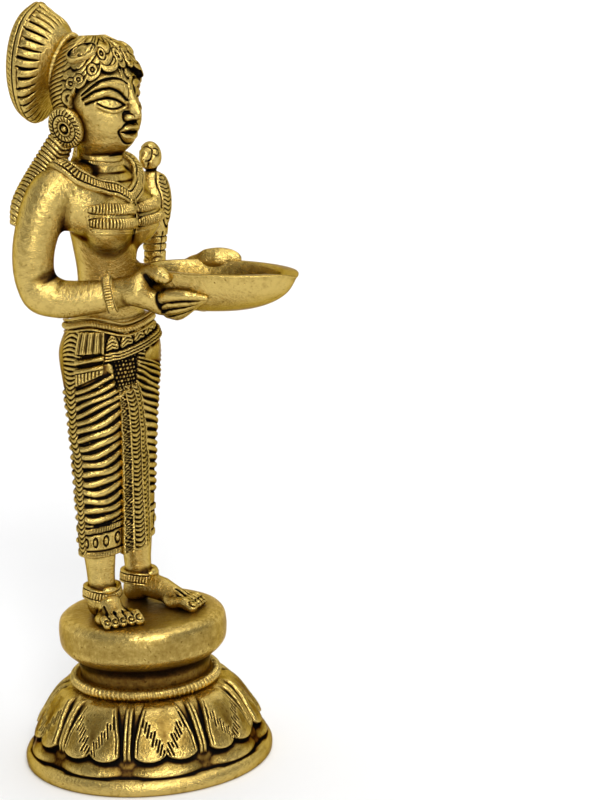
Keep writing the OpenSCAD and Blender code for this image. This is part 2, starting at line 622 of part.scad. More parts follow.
// Locks of hair that fall behind the shoulders
module hair_lock(side) {
    x = side * (head_w / 2 - 3);
    path = [[0, head_x + x, head_y + 7.8, chin_z + 3, lock_t * 0.42],
        [1, chest_sway + side * 10, waist_y + 10.6, throat_z - 0.4, lock_t / 2],
        [2, chest_sway + side * (chest_w / 2 + 2), waist_y + 12.8, throat_z - 7.4, lock_t * 0.46],
        [3, chest_sway + side * (chest_w / 2 + 4), waist_y + 14.4, throat_z - 15, lock_t * 0.16]];
    rings = tube_rings(path, 24, 8, [0, 1, 0]);
    function middle(r) = [for (k = [0:2]) [for (p = r) p[k]] * [for (p = r) 1] / len(r)];
    color(brass) skin([for (i = [0:len(rings) - 1]) let (c = middle(rings[i]))
        [for (p = rings[i]) c + (p - c) * (1 - 0.14 * (i % 2))]]);
}

// Arms: bent at the elbow, forearms forward, hands under the bowl with the thumbs on its rim
shoulder_z = throat_z - 5;
elbow_z = waist_z + 7.6;
rim_z = waist_z + 14.2;
bowl_tip = 2.6;
hand_x = bowl_w / 2 - 4.6;
hand_y = waist_y - 21;
// The left elbow is held closer to the body than the right
function elbow_in(side) = side > 0 ? 1 : 0;
function arm_path(side) = [
    [0, side * (shoulder_x + seat_gap), waist_y + 1.4, shoulder_z - 1, upper_arm_d / 2 - 0.5],
    [0.4, side * (shoulder_x + 2), waist_y + 1.4, shoulder_z - 1, upper_arm_d / 2],
    [1, side * (chest_w / 2 + 3.6), waist_y + 4.2, shoulder_z - 1.6,
        upper_arm_d / 2 + 0.5],
    [2, side * (elbow_gap / 2 - elbow_in(side)), waist_y + 7.4 - elbow_in(side), (shoulder_z + elbow_z) / 2,
        upper_arm_d / 2 - 0.5],
    [3, side * (elbow_gap / 2 - elbow_in(side)), waist_y + 8 - elbow_in(side), elbow_z + 3.2,
        forearm_d / 2 + 0.7],
    [4, side * (elbow_gap / 2 - 0.8 - elbow_in(side)), waist_y + 3.4 - elbow_in(side), elbow_z - 0.4,
        forearm_d / 2 + 0.4],
    [5, side * (elbow_gap / 2 - 3), waist_y - 5.6, elbow_z - 0.2, forearm_d / 2],
    [6, side * (hand_x + 3.4), waist_y - 12.6, elbow_z + 0.8, wrist_d / 2]];
// Point on the outside of the bowl at an angle round its outline and a level from bottom to rim, lifted off
function on_bowl(side, q, level, lift) =
    let (k = lookup(level, bowl_levels), p = leaf(q, k + 2 * lift / bowl_len))
    [side * abs(p[0]) + side * lift * 0.4, p[1] + bowl_len * 0.08 * (1 - k),
        rim_z - bowl_h + bowl_h * level + (p[1] - bowl_back) * tan(bowl_tip) - lift * (1 - level)];
finger_levels = [0.62, 0.4, 0.2, 0.04];
module fingers(side) {
    lift = finger_d / 2 + 0.6;
    palm = [side * (hand_x + 4), hand_y + 5.4, elbow_z + 1.2];
    for (k = [0:3]) {
        root = on_bowl(side, 138, finger_levels[k] * 0.8 + 0.06, lift + 0.4);
        knuckle = on_bowl(side, 118 - 3 * (k % 3), finger_levels[k], lift);
        tip = on_bowl(side, 99 - (k == 1 || k == 2 ? 5 : 0), finger_levels[k], lift - 0.2);
        hull() {
            translate(root) sphere(d = finger_d + 0.5, $fn = 10);
            translate(knuckle) sphere(d = finger_d, $fn = 10);
        }
        hull() {
            translate(knuckle) sphere(d = finger_d, $fn = 10);
            translate(tip) sphere(d = finger_d - 0.5, $fn = 10);
        }
    }
    hull() {
        translate([side * (hand_x + 3.4), hand_y + 8.6, elbow_z + 0.8]) sphere(d = wrist_d - 0.4, $fn = 12);
        translate(palm) sphere(d = wrist_d - 1, $fn = 12);
        for (level = finger_levels)
            translate(on_bowl(side, 138, level * 0.8 + 0.06, lift + 0.4)) sphere(d = finger_d + 0.5, $fn = 10);
    }
    hull() {
        translate(palm + [0, 1, 2]) sphere(d = finger_d + 1.6, $fn = 10);
        translate(on_bowl(side, 126, 1, finger_d / 2) + [0, 0, 0.9]) sphere(d = finger_d + 0.4, $fn = 10);
    }
    hull() {
        translate(on_bowl(side, 126, 1, finger_d / 2) + [0, 0, 0.9]) sphere(d = finger_d + 0.4, $fn = 10);
        translate(on_bowl(side, 110, 1, -0.6) + [0, 0, finger_d / 2 + 0.6]) sphere(d = finger_d, $fn = 10);
    }
}
module arm(side) color(brass) translate([chest_sway, 0, 0]) {
    skin(tube_rings(arm_path(side), 18, 12));
    fingers(side);
}
module on_arm(side, v) {
    s = station(arm_path(side), v);
    a = station(arm_path(side), v - 0.05);
    b = station(arm_path(side), v + 0.05);
    d = [b[1] - a[1], b[2] - a[2], b[3] - a[3]];
    translate([chest_sway + s[1], s[2], s[3]])
        rotate([0, acos(d[2] / norm(d)), atan2(d[1], d[0])]) children();
}
module sleeve_ring(side, v, ribs) {
    hole = station(arm_path(side), v)[4];
    n = 2 * ribs;
    on_arm(side, v) skin([for (k = [[-0.5, 0.15], [-0.4, 0.9], [0.4, 0.9], [0.5, 0.15]])
        [for (j = [0:n - 1])
            let (q = 360 * j / n, dent = k[1] > 0.5 ? (j % 2) * 0.25 : 0,
                r = hole + 0.35 + seat_gap + k[1] * band_t - dent)
            [r * cos(q), r * sin(q), k[0] * band_h]]], loop = true);
}
module armlet() color(brass) sleeve_ring(1, 2.1, 20);
module bangle(side) color(brass) sleeve_ring(side, 5.55, 18);

// Leaf-shaped oil bowl: rings of one leaf outline, up the outside and down the inside
bowl_back = waist_y - 12.6;
bowl_sides = 32;
function leaf(q, k) = [bowl_w / 2 * k * sin(q) * pow(abs(sin(q / 2)), 0.55) * 1.12,
    bowl_back - bowl_len / 2 - bowl_len / 2 * k * cos(q)];
function leaf_ring(k, z, inset) = [for (q = angles(bowl_sides))
    let (p = leaf(q, k - 2 * inset / bowl_len))
    [chest_sway + p[0] * (1 - 0.5 * inset / bowl_w), p[1] + bowl_len * 0.08 * (1 - k),
        z + (p[1] - bowl_back) * tan(bowl_tip)]];
bowl_levels = [[0, 0.3], [0.06, 0.5], [0.25, 0.72], [0.55, 0.89], [1, 1]];
bowl_outside = [for (s = bowl_levels) leaf_ring(s[1], rim_z - bowl_h + bowl_h * s[0], 0)];
bowl_inside = [for (i = [4:-1:0]) let (s = bowl_levels[i])
    leaf_ring(s[1], rim_z - bowl_h + bowl_wall + (bowl_h - bowl_wall) * s[0], bowl_wall)];
module oil_bowl() color(brass) skin(concat(bowl_outside, bowl_inside));

// Parrot that clings to the outside of the left upper arm
perch_arm = station(arm_path(1), 1.6);
perch_off = perch_arm[4] + parrot_d / 2 + seat_gap;
perch = [chest_sway + perch_arm[1] + 0.94 * perch_off, perch_arm[2] - 0.34 * perch_off, elbow_z + 5.4];
module parrot() color(brass) {
    r = parrot_d / 2;
    skin(tube_rings([[0, perch[0], perch[1] + 1, perch[2] - 3, r * 0.35],
        [1, perch[0], perch[1] + 0.6, perch[2] + parrot_h * 0.24, r * 0.62],
        [2, perch[0] + 0.4, perch[1], perch[2] + parrot_h * 0.5, r],
        [3, perch[0], perch[1] - 0.4, perch[2] + parrot_h * 0.68, r * 0.74],
        [4, perch[0] - 0.2, perch[1] - 0.8, perch[2] + parrot_h * 0.8, r * 0.78],
        [5, perch[0], perch[1] - 1, perch[2] + parrot_h * 0.9, r * 0.2]], 20, 14));
}

lotus_base();
rope_collar();
plinth();
fixing_stud();
fixing_washer();
fixing_nut();
leg(-1);  // right_leg
leg(1);  // left_leg
anklet(-1);  // right_anklet
anklet(1);  // left_anklet
skirt();
front_pleat();
girdle();
hip_sash(-1);  // right_hip_sash
hip_sash(1);  // left_hip_sash
torso();
bodice_bands(-1);  // right_bodice_bands
bodice_bands(1);  // left_bodice_bands
necklace();
choker();
head();
hair_cap();
hair_brooch(-1);  // right_hair_brooch
hair_brooch(1);  // left_hair_brooch
earring(-1);  // right_earring
earring(1);  // left_earring
hair_bun();
bun_ring();
hair_lock(-1);  // right_hair_lock
hair_lock(1);  // left_hair_lock
arm(-1);  // right_arm
arm(1);  // left_arm
armlet();
bangle(-1);  // right_bangle
bangle(1);  // left_bangle
oil_bowl();
parrot();
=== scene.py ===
# %% [markdown]
# A standing lamp bearer in cast brass: a small figure on a lotus base that holds a leaf-shaped oil bowl.
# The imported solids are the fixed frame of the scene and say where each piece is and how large.
# Every solid that shows is replaced by a finer piece in the same place, made from the same measures,
# because chasing, beads and fingers need far more detail than a construction model carries.
# %% Load the frame
import math
import bpy
import numpy as np
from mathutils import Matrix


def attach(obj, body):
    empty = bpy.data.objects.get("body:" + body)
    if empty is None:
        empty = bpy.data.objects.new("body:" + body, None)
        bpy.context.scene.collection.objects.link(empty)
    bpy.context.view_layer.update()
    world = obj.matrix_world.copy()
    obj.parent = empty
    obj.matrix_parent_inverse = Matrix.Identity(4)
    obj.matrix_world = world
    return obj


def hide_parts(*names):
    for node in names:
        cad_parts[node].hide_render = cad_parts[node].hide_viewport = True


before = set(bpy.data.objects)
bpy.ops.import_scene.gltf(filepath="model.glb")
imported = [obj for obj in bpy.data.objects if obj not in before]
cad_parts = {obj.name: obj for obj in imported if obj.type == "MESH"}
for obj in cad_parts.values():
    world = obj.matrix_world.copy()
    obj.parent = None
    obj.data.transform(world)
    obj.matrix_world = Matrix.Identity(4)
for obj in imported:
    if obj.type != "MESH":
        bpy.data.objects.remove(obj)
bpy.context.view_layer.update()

import openvdb
from mathutils import Matrix, Vector

MM = 0.001
scene = bpy.context.scene
scene.view_settings.view_transform = "Standard"

# %% [markdown]
# The camera comes first, because every later choice is judged through it. It stands in front of the lamp and
# to the figure's right, at the height of the head, and looks slightly down with a long lens. The lamp leans a
# little in its frame, so the camera is rolled, and it is aimed so that the base stays at its place.
# %% Camera
def add_object(name, data):
    thing = bpy.data.objects.new(name, data)
    scene.collection.objects.link(thing)
    return thing


FRAME_W, FRAME_H = 599, 800
LENS_PX = 1960.0


def aim_camera(distance, height, side, base_px, roll):
    centre = np.array([FRAME_W / 2, FRAME_H / 2])
    lean = np.array([[math.cos(roll), -math.sin(roll)], [math.sin(roll), math.cos(roll)]])
    offset = lean @ (np.array(base_px) - centre)
    pitch = math.atan2(height, distance) - math.atan(offset[1] / LENS_PX)
    reach = distance * math.cos(pitch) + height * math.sin(pitch)
    heading = side - math.asin(offset[0] * reach / (LENS_PX * distance))
    look = Vector((math.sin(heading) * math.cos(pitch), math.cos(heading) * math.cos(pitch), -math.sin(pitch)))
    right = Vector((math.cos(heading), -math.sin(heading), 0))
    turn = Matrix((right, right.cross(look), -look)).transposed() @ Matrix.Rotation(-roll, 3, "Z")
    data = bpy.data.cameras.new("camera")
    data.sensor_fit = "VERTICAL"
    data.sensor_height = 36
    data.lens = LENS_PX * data.sensor_height / FRAME_H
    data.clip_start = 0.01
    camera = add_object("camera", data)
    place = Vector((-distance * math.sin(side), -distance * math.cos(side), height)) * MM
    camera.matrix_world = Matrix.Translation(place) @ turn.to_4x4()
    scene.camera = camera


aim_camera(distance=502, height=192, side=math.radians(60), base_px=(150.8, 748), roll=math.radians(2.2))
print("camera:", round(scene.camera.data.lens, 1), "mm lens")

# %% [markdown]
# The figure's surfaces follow a few stations: at each height, a half width, a half depth and a centre.
# A smooth curve runs through them. All of the dress and jewellery lies on these surfaces, so they are written
# as functions of an angle round the body, a height, and a lift off the surface.
# %% Stations and small curves
GROUND, HEM, WAIST, THROAT, CHIN, CROWN = 40.0, 55.244, 118.44, 156.92, 161.36, 188.0
KNEE, HIP = HEM + 28, WAIST - 9.5
SIDES = {-1: "right", 1: "left"}


def station(rows, z):
    rows, z = np.asarray(rows, float), np.asarray(z, float)
    h, n = rows[:, 0], len(rows)
    i = np.clip(np.searchsorted(h, z, side="right") - 1, 0, n - 2)
    before, after = np.maximum(np.arange(n) - 1, 0), np.minimum(np.arange(n) + 1, n - 1)
    slope = (rows[after] - rows[before]) / (h[after] - h[before])[:, None]
    step = (h[i + 1] - h[i])[..., None]
    t = (z - h[i])[..., None] / step
    u = 1 - t
    value = rows[i] * (u * u * (1 + 2 * t)) + slope[i] * (step * t * u * u)
    value = value + rows[i + 1] * (t * t * (1 + 2 * u)) - slope[i + 1] * (step * t * t * u)
    return np.moveaxis(value, -1, 0)[1:]


def ease(a, b, v):
    t = np.clip((v - a) / (b - a), 0, 1)
    return t * t * (3 - 2 * t)


def hump(v, width):
    return np.exp(-(v / width) ** 2)


def dome(v):
    """Half circle over -1 to 1, and nothing beyond."""
    return np.sqrt(np.clip(1 - v ** 2, 0, 1))


def away(q, middle):
    return (q - middle + 180) % 360 - 180


def turns(n):
    """n angles once round, in radians."""
    return np.arange(n) / n * 2 * np.pi


def unit(v):
    return v / np.linalg.norm(v, axis=-1, keepdims=True)


def smooth_line(points, n=12):
    """Points of a smooth curve through the given ones."""
    p = np.asarray(points, float)
    key = np.concatenate([[0], np.cumsum(np.linalg.norm(np.diff(p, axis=0), axis=1))])
    return np.stack(station(np.column_stack([key, p]), np.linspace(0, key[-1], n * (len(p) - 1) + 1)), -1)


def from_line(s, z, line, reach=3.0):
    """Distance of every (s, z) within reach from a line of points in the same flat measure."""
    best = np.full(s.shape, 1e9)
    (s0, z0), (s1, z1) = line.min(0) - reach, line.max(0) + reach
    near = (s > s0) & (s < s1) & (z > z0) & (z < z1)
    ps, pz = s[near], z[near]
    d = np.full(ps.shape, 1e9)
    for a, b in zip(line[:-1], line[1:]):
        w = b - a
        t = np.clip(((ps - a[0]) * w[0] + (pz - a[1]) * w[1]) / (w @ w + 1e-12), 0, 1)
        d = np.minimum(d, (ps - a[0] - t * w[0]) ** 2 + (pz - a[1] - t * w[1]) ** 2)
    best[near] = np.sqrt(d)
    return best


def groove(s, z, points, width, n=8):
    """Depth of 0 to 1 of a chased line through the given points."""
    return hump(from_line(s, z, smooth_line(points, n)), width)


def ridge(phase, sharp=0.5):
    """Round ridges with narrow valleys, one to each whole number of the phase."""
    f = phase - np.floor(phase)
    return np.maximum(0, 1 - (2 * f - 1) ** 2) ** sharp

# %% [markdown]
# Three ways of making a mesh are enough for the whole lamp. A relief is a grid of points over one of the
# surfaces, raised and engraved point by point, as a chaser works on metal. A sculpt is a field of distances
# that is turned into a skin, which blends limbs into each other. Beads and ribs along a line are instances.
# %% Meshes from grids and from fields
MADE = {}


def new_piece(name, points, faces, stands_for, finish="cast_brass"):
    """A mesh object in metres from points in millimetres. Faces are lists of quads or triangles."""
    points = np.asarray(points, float)
    corner = [points[f] for f in faces]
    volume = sum(np.einsum("ij,ij->", c[:, 0], np.cross(c[:, k], c[:, k + 1]))
                 for c in corner for k in range(1, c.shape[1] - 1))
    if volume < 0:
        faces = [f[:, ::-1] for f in faces]
    mesh = bpy.data.meshes.new(name)
    sizes = np.concatenate([np.full(len(f), f.shape[1]) for f in faces])
    corners = np.concatenate([f.ravel() for f in faces])
    mesh.vertices.add(len(points))
    mesh.vertices.foreach_set("co", (points * MM).astype(np.float32).ravel())
    mesh.loops.add(len(corners))
    mesh.loops.foreach_set("vertex_index", corners.astype(np.int32))
    mesh.polygons.add(len(sizes))
    mesh.polygons.foreach_set("loop_start", (np.cumsum(sizes) - sizes).astype(np.int32))
    mesh.polygons.foreach_set("use_smooth", np.ones(len(sizes), bool))
    mesh.update(calc_edges=True)
    mesh.validate()
    piece = add_object(name, mesh)
    MADE[name] = (piece, stands_for, finish)
    print("made", name, "from", len(points), "points")
    return piece


def grid_faces(rows, cols, loop=False):
    """Quads of rows of points that close round, with the ends closed by fans or joined in a loop."""
    number = np.arange(rows * cols).reshape(rows, cols)
    above = np.roll(number, -1, 0) if loop else number[1:]
    below = number if loop else number[:-1]
    quads = np.stack([below, np.roll(below, -1, 1), np.roll(above, -1, 1), above], -1).reshape(-1, 4)
    if loop:
        return [quads]
    top, low = number[-1], number[0]
    fans = [np.stack([np.roll(low, -1), low, np.full(cols, rows * cols)], -1),
            np.stack([top, np.roll(top, -1), np.full(cols, rows * cols + 1)], -1)]
    return [quads, np.concatenate(fans)]


def relief(name, grid, stands_for, loop=False, finish="cast_brass"):
    """Closed skin over rows of points that close round the body."""
    rows, cols = grid.shape[:2]
    points = grid.reshape(-1, 3)
    if not loop:
        points = np.vstack([points, grid[0].mean(0), grid[-1].mean(0)])
    return new_piece(name, points, grid_faces(rows, cols, loop), stands_for, finish)


def slab(name, outer, inner, stands_for, finish="cast_brass"):
    """Closed patch between an outer and an inner grid of the same size."""
    rows, cols = outer.shape[:2]
    number = np.arange(rows * cols).reshape(rows, cols)
    def quads(n):
        return np.stack([n[:-1, :-1], n[:-1, 1:], n[1:, 1:], n[1:, :-1]], -1).reshape(-1, 4)
    back = number + rows * cols
    rim = np.concatenate([number[0, :-1], number[:-1, -1], number[-1, :0:-1], number[:0:-1, 0]])
    wall = np.stack([rim, rim + rows * cols, np.roll(rim, -1) + rows * cols, np.roll(rim, -1)], -1)
    points = np.vstack([outer.reshape(-1, 3), inner.reshape(-1, 3)])
    return new_piece(name, points, [quads(number), quads(back)[:, ::-1], wall], stands_for, finish)


def sculpt(field, low, high, voxel):
    """Points and quads of the skin where a field of distances is zero. Only blocks near the skin are filled."""
    block, low = 8, np.asarray(low, float)
    count = np.ceil((np.asarray(high, float) - low) / (block * voxel)).astype(int)
    corner = np.stack(np.meshgrid(*[np.arange(c) for c in count], indexing="ij"), -1).reshape(-1, 3)
    middle = low + (corner + 0.5 - 0.5 / block) * block * voxel
    rough = field(middle)
    dense = np.repeat(np.sign(rough)[:, None] * block * voxel, block ** 3, 1)
    near = np.flatnonzero(np.abs(rough) < block * voxel * 0.9 + 0.8)
    inside = np.stack(np.meshgrid(*[np.arange(block)] * 3, indexing="ij"), -1).reshape(-1, 3) * voxel
    for part in np.array_split(near, max(1, len(near) // 400)):
        points = (low + corner[part] * block * voxel)[:, None] + inside
        dense[part] = field(points.reshape(-1, 3)).reshape(len(part), -1)
    volume = dense.reshape(*count, block, block, block).transpose(0, 3, 1, 4, 2, 5).reshape(count * block)
    grid = openvdb.FloatGrid(block * voxel)
    grid.copyFromArray(np.ascontiguousarray(volume, np.float32))
    points, quads = grid.convertToQuads(0.0)
    return points.astype(float) * voxel + low, quads.astype(np.int64)[:, ::-1]


# %% [markdown]
# A field gives the distance of any point from a shape, and is negative inside it. Balls, eggs and bars are enough
# for limbs. Two fields are joined with a fillet or cut out of each other, as wax is added and scraped away.
# %% Fields of distances
def ball(p, c, r):
    return np.linalg.norm(p - np.asarray(c, float), axis=-1) - r


def egg(p, c, radii, turn=0.0, axis="Z"):
    """Ellipsoid, turned by an angle about one of the axes."""
    v = p - np.asarray(c, float)
    if turn:
        v = v @ np.array(Matrix.Rotation(math.radians(turn), 3, axis))
    radii = np.asarray(radii, float)
    k = np.linalg.norm(v / radii, axis=-1)
    return k * (k - 1) / np.maximum(np.linalg.norm(v / radii ** 2, axis=-1), 1e-9)


def limb(p, a, b, ra, rb):
    """Round bar whose radius changes from one end to the other."""
    a, b = np.asarray(a, float), np.asarray(b, float)
    w = b - a
    t = np.clip(((p - a) @ w) / (w @ w), 0, 1)
    return np.linalg.norm(p - a - t[:, None] * w, axis=-1) - ra - t * (rb - ra)


def chain(p, nodes):
    """Bars of changing radius through rows of x, y, z, radius."""
    d = np.full(len(p), 1e9)
    for a, b in zip(nodes[:-1], nodes[1:]):
        d = np.minimum(d, limb(p, a[:3], b[:3], a[3], b[3]))
    return d


def join(a, b, soft):
    """Union with a soft fillet."""
    h = np.clip(0.5 + 0.5 * (b - a) / soft, 0, 1)
    return b * (1 - h) + a * h - soft * h * (1 - h)


def carve(a, b, soft):
    """Cut with a soft edge."""
    return -join(-a, b, soft)


# %% [markdown]
# Polish and dirt need to know which places are low. A skin is smoothed step by step: after a few steps it shows
# the chased lines, after many the wide hollows between forms.
# %% Hollows of a skin
HOLLOW_STEPS = (4, 40)


def hollows(points, normals, edges, steps):
    """How far the surface lies below its own smoothed shape, in mm, after each number of steps."""
    a, b = edges[:, 0], edges[:, 1]
    n = len(points)
    share = np.maximum(np.bincount(a, minlength=n) + np.bincount(b, minlength=n), 1)[:, None]
    at, found = points.astype(float), []
    for step in range(1, max(steps) + 1):
        total = np.stack([np.bincount(a, at[b, k], n) + np.bincount(b, at[a, k], n) for k in range(3)], -1)
        at = 0.4 * at + 0.6 * total / share
        if step in steps:
            found.append(np.einsum("ij,ij->i", at - points, normals))
    return found
# %% [markdown]
# The metal is old brass. High places are rubbed bright, low places keep a dark brown skin, and between them the
# brass is a deep gold. How low and how sheltered a place is, is worked out later from the finished shapes and
# stored on every vertex as "patina_and_shade": the hollows give patina, and corners and deep places among the
# pieces give painted shade. The material turns that into colour and roughness, so shade is painted into the colour
# there.
# Stains of two sizes and small specks shift it, and two bumps stand for the uneven cast skin and its fine pits.
# %% Brass
def fill(tree, node, **inputs):
    """Sets a node's inputs or links them, by name and with _ for a space."""
    for name, value in inputs.items():
        socket = node.inputs[name.replace("_", " ")]
        if isinstance(value, bpy.types.NodeSocket):
            tree.links.new(value, socket)
        else:
            socket.default_value = value
    return node


# Colour of the metal from rubbed bright to the darkest skin
BRASS_STOPS = (
    (0.0, (0.62, 0.45, 0.135)), (0.15, (0.375, 0.256, 0.064)), (0.28, (0.255, 0.161, 0.034)),
    (0.42, (0.145, 0.077, 0.015)), (0.55, (0.058, 0.027, 0.007)), (0.7, (0.018, 0.009, 0.004)),
    (1.0, (0.006, 0.005, 0.004)))


def brass(name, rough, pit, edge):
    mat = bpy.data.materials.new(name)
    mat.use_nodes = True
    tree = mat.node_tree

    def node(kind, **inputs):
        return fill(tree, tree.nodes.new("ShaderNode" + kind), **inputs)
    place = node("TexCoord").outputs["Object"]

    def noise(scale, detail, roughness):
        return node("TexNoise", Vector=place, Scale=scale, Detail=detail, Roughness=roughness).outputs["Fac"]

    def math_node(kind, *values):
        n = node("Math")
        n.operation = kind
        for socket, v in zip(n.inputs, values):
            if isinstance(v, float):
                socket.default_value = v
            else:
                tree.links.new(v, socket)
        return n

    def stain(scale, detail, roughness, strength):
        return math_node("MULTIPLY_ADD", noise(scale, detail, roughness), strength, -strength / 2).outputs[0]
    # Patina in the hollows and painted shade in corners and deep places, read from every vertex
    age_and_shade = node("Attribute")
    age_and_shade.attribute_name = "patina_and_shade"
    base = math_node("MULTIPLY", age_and_shade.outputs["Fac"], 1.3).outputs[0]
    wide = stain(110, 3, 0.55, strength=0.24)
    fine = stain(700, 5, 0.7, strength=0.5)
    speck = node("MapRange", Value=noise(1500, 2, 0.5), From_Min=0.64, From_Max=0.74).outputs["Result"]
    stained = math_node("ADD", math_node("ADD", base, wide).outputs[0], fine).outputs[0]
    total = math_node("MULTIPLY_ADD", speck, 0.3, stained)
    total.use_clamp = True
    level = total.outputs[0]
    colour = node("ValToRGB", Fac=level)
    ramp = colour.color_ramp.elements
    while len(ramp) < len(BRASS_STOPS):
        ramp.new(0.5)
    for element, (at, value) in zip(ramp, BRASS_STOPS):
        element.position, element.color = at, (*value, 1)
    dull = node("MapRange", Value=level, To_Min=rough, To_Max=0.62)
    wave = node("Bump", Height=noise(170, 2, 0.5), Strength=0.28, Distance=0.0012)
    bump = node("Bump", Height=noise(900, 5, 0.65), Normal=wave.outputs["Normal"], Strength=pit, Distance=0.0004)
    fill(tree, tree.nodes["Principled BSDF"], Metallic=1.0, Specular_Tint=(*edge, 1),
         Base_Color=colour.outputs["Color"], Roughness=dull.outputs["Result"], Normal=bump.outputs["Normal"])
    return mat


FINISH = {"cast_brass": brass("cast_brass", rough=0.18, pit=0.8, edge=(0.36, 0.27, 0.16)),
          "turned_brass": brass("turned_brass", rough=0.24, pit=0.5, edge=(0.75, 0.62, 0.4))}
print("metals:", ", ".join(FINISH))

# %% [markdown]
# The lotus base is a hollow dome under a ring of nine petals. Each petal ends in two round lobes, with a low
# mound below them, and raised strips part one petal from the next. A chaser has cut slanted veins that meet in
# the notch. On the grid these are heights: the edge of a petal is where its own outline is crossed.
# %% Lotus base
BASE_R, SEAT_R, SEAT_Z, RIM_Z, DOME_R, WALL = 33.0, 19.0, 20.5, 4.0, 30.6, 3.0
PETALS, PETAL_TURN = 9, 18.0
PITCH = 360 / PETALS
LOBE_MIDDLE, LOBE_HALF = 8.2, 8.5  # degrees from the middle of a petal
VEINS = 9  # on each side of a petal


def dome_radius(z):
    return SEAT_R + (DOME_R - SEAT_R) * np.clip(1 - (z - RIM_Z) / (SEAT_Z - RIM_Z), 0, 1) ** (1 / 1.9)


def petal_height(q, z):
    w = (q - PETAL_TURN + PITCH / 2) % PITCH - PITCH / 2
    mm = np.radians(1) * dome_radius(z)
    side, across = np.abs(w), w * mm
    half = np.interp(z, [6, 9, 13, 17, 20.5], [16.0, 16.6, 16.2, 14.0, 11.0])
    lobe = 7.7 + 2.4 * (1 - dome((side - LOBE_MIDDLE) / LOBE_HALF))
    inside = np.minimum((half - side) * mm, z - lobe)
    high = 1.5 * ease(-0.1, 0.45, inside)
    full = 0.5 * hump((side - LOBE_MIDDLE) * mm, 3) * hump(z - 9.6, 2.6) - 0.3 * hump(across, 1.6)
    high += ease(0, 0.6, inside) * full
    high -= 0.3 * hump(inside - 0.95, 0.17) * ease(9, 10.5, z) * (z < 19)
    to_next = (PITCH / 2 - side) * mm
    strip = ease(1.15, 0.75, to_next) * ease(7.8, 10.5, z)
    high = np.maximum(high, 1.2 * strip)
    high -= 0.5 * hump(to_next, 0.17) * ease(8, 10, z)
    mound = np.sqrt((across / 9.4) ** 2 + ((z - 5.6) / 3.0) ** 2)
    swell = 1.35 * np.clip(1 - mound ** 2, 0, 1) ** 1.3 + 0.35 * ease(6.5, 4.4, z)
    high = np.where(inside < 0.2, np.maximum(high, swell), high)
    number = np.floor((q - PETAL_TURN + PITCH / 2) / PITCH)
    for arm in (-1, 1):
        for k in range(VEINS):
            t = k / (VEINS - 1)
            wild = np.sin(3.7 * k + 2.1 * arm + 5.3 * number)
            s0, z0 = arm * (0.6 + 4.2 * t), 9.9 + 6.8 * t
            long = 0.75 + 0.45 * wild
            cut = np.full(q.shape, 9.0)
            for piece in np.unique(number):
                here = number == piece
                reach = long[here].flat[0]
                ends = np.array([s0, z0]) + reach * np.array([[arm * 0.5, -1.3], [-arm * 0.4, 1.2]])
                cut[here] = from_line(across[here], z[here], ends)
            high -= 0.5 * hump(cut, 0.2)
    return high


def lotus_base():
    q = np.arange(1080) / 3.0
    c, s = np.cos(np.radians(q)), np.sin(np.radians(q))

    def ring(r, z):
        return np.stack([r * c, r * s, z + 0 * q], -1)
    rim = [(BASE_R - 5, 0), (BASE_R - 1.2, 0), (BASE_R - 0.5, 0.15), (BASE_R - 0.1, 0.7), (BASE_R, 1.6),
           (BASE_R - 0.05, 2.4), (BASE_R - 0.4, 3.2), (BASE_R - 1.0, 3.8), (BASE_R - 1.7, 4.15)]
    rows = [ring(r, z) for r, z in rim]
    for z in np.linspace(RIM_Z + 0.35, SEAT_Z - 0.05, 66):
        out = petal_height(q, np.full_like(q, z))
        slope = (dome_radius(z + 0.05) - dome_radius(z - 0.05)) / 0.1
        nr, nz = 1 / math.hypot(1, slope), -slope / math.hypot(1, slope)
        fade = ease(SEAT_Z + 0.1, SEAT_Z - 1.2, z)
        rows.append(ring(dome_radius(z) + out * fade * nr, z + out * fade * nz * 0.5))
    inner = [(SEAT_R - 0.5, SEAT_Z), (10.1, SEAT_Z), (10.1, SEAT_Z - WALL), (SEAT_R - 3, SEAT_Z - WALL)]
    inner += [(dome_radius(z + WALL) - WALL, z) for z in np.linspace(SEAT_Z - WALL - 1, 1.5, 8)]
    rows += [ring(r, z) for r, z in inner]
    return relief("lotus_base.cast", np.array(rows), ["lotus_base"], loop=True)


lotus_base()

# %% [markdown]
# The plinth is turned: one outline, swung round the axis, with a rounded drum above a hollow neck.
# A turned piece that was filed by hand is never quite round, so the radius wanders by a tenth of a millimetre.
# %% Plinth
def plinth():
    q = np.radians(np.arange(240) * 1.5)
    outline = smooth_line([(0.4, 17.6), (9.9, 17.6)], 2).tolist() + [(9.95, 17.8), (9.95, 20.45), (10.4, 20.55)]
    outline += [(16.7, 20.55), (16.85, 20.7), (17.0, 22), (17.1, 24), (17.3, 25.6), (17.6, 26.9)]
    drum = [(17.6, 26.9), (18.3, 28.1), (19.5, 29.1), (20.8, 30.3), (21.8, 31.7), (22.15, 34), (22.15, 36.4),
            (21.7, 38.5), (20.5, 39.6), (19.0, 39.95), (14, 40), (0.4, 40)]
    outline += smooth_line(drum, 7)[1:].tolist()
    r, z = np.array(outline).T
    wander = 0.07 * np.sin(3 * q + 1) + 0.05 * np.sin(7 * q) + 0.03 * np.sin(12 * q + 2)
    r = r[:, None] + wander * ease(17, 21, r)[:, None]
    zz = z[:, None] + 0.05 * np.sin(2 * q + 0.4) * ((z > 26) & (z < 39.4))[:, None]
    return relief("plinth.turned", np.stack([r * np.cos(q), r * np.sin(q), zz], -1), ["plinth"],
                  finish="turned_brass")


plinth()

# %% [markdown]
# Beads along a line: one tree of Geometry Nodes serves the twisted collar, the girdle, the ring of the bun and
# the clasps of the anklets. It takes a mesh with loose points that carry a direction along the line and one
# away from the metal, puts a small round bead on each, and joins them to the band below.
# %% Bead row
BEAD_SIZES = ("Bead along", "Bead across", "Bead out")


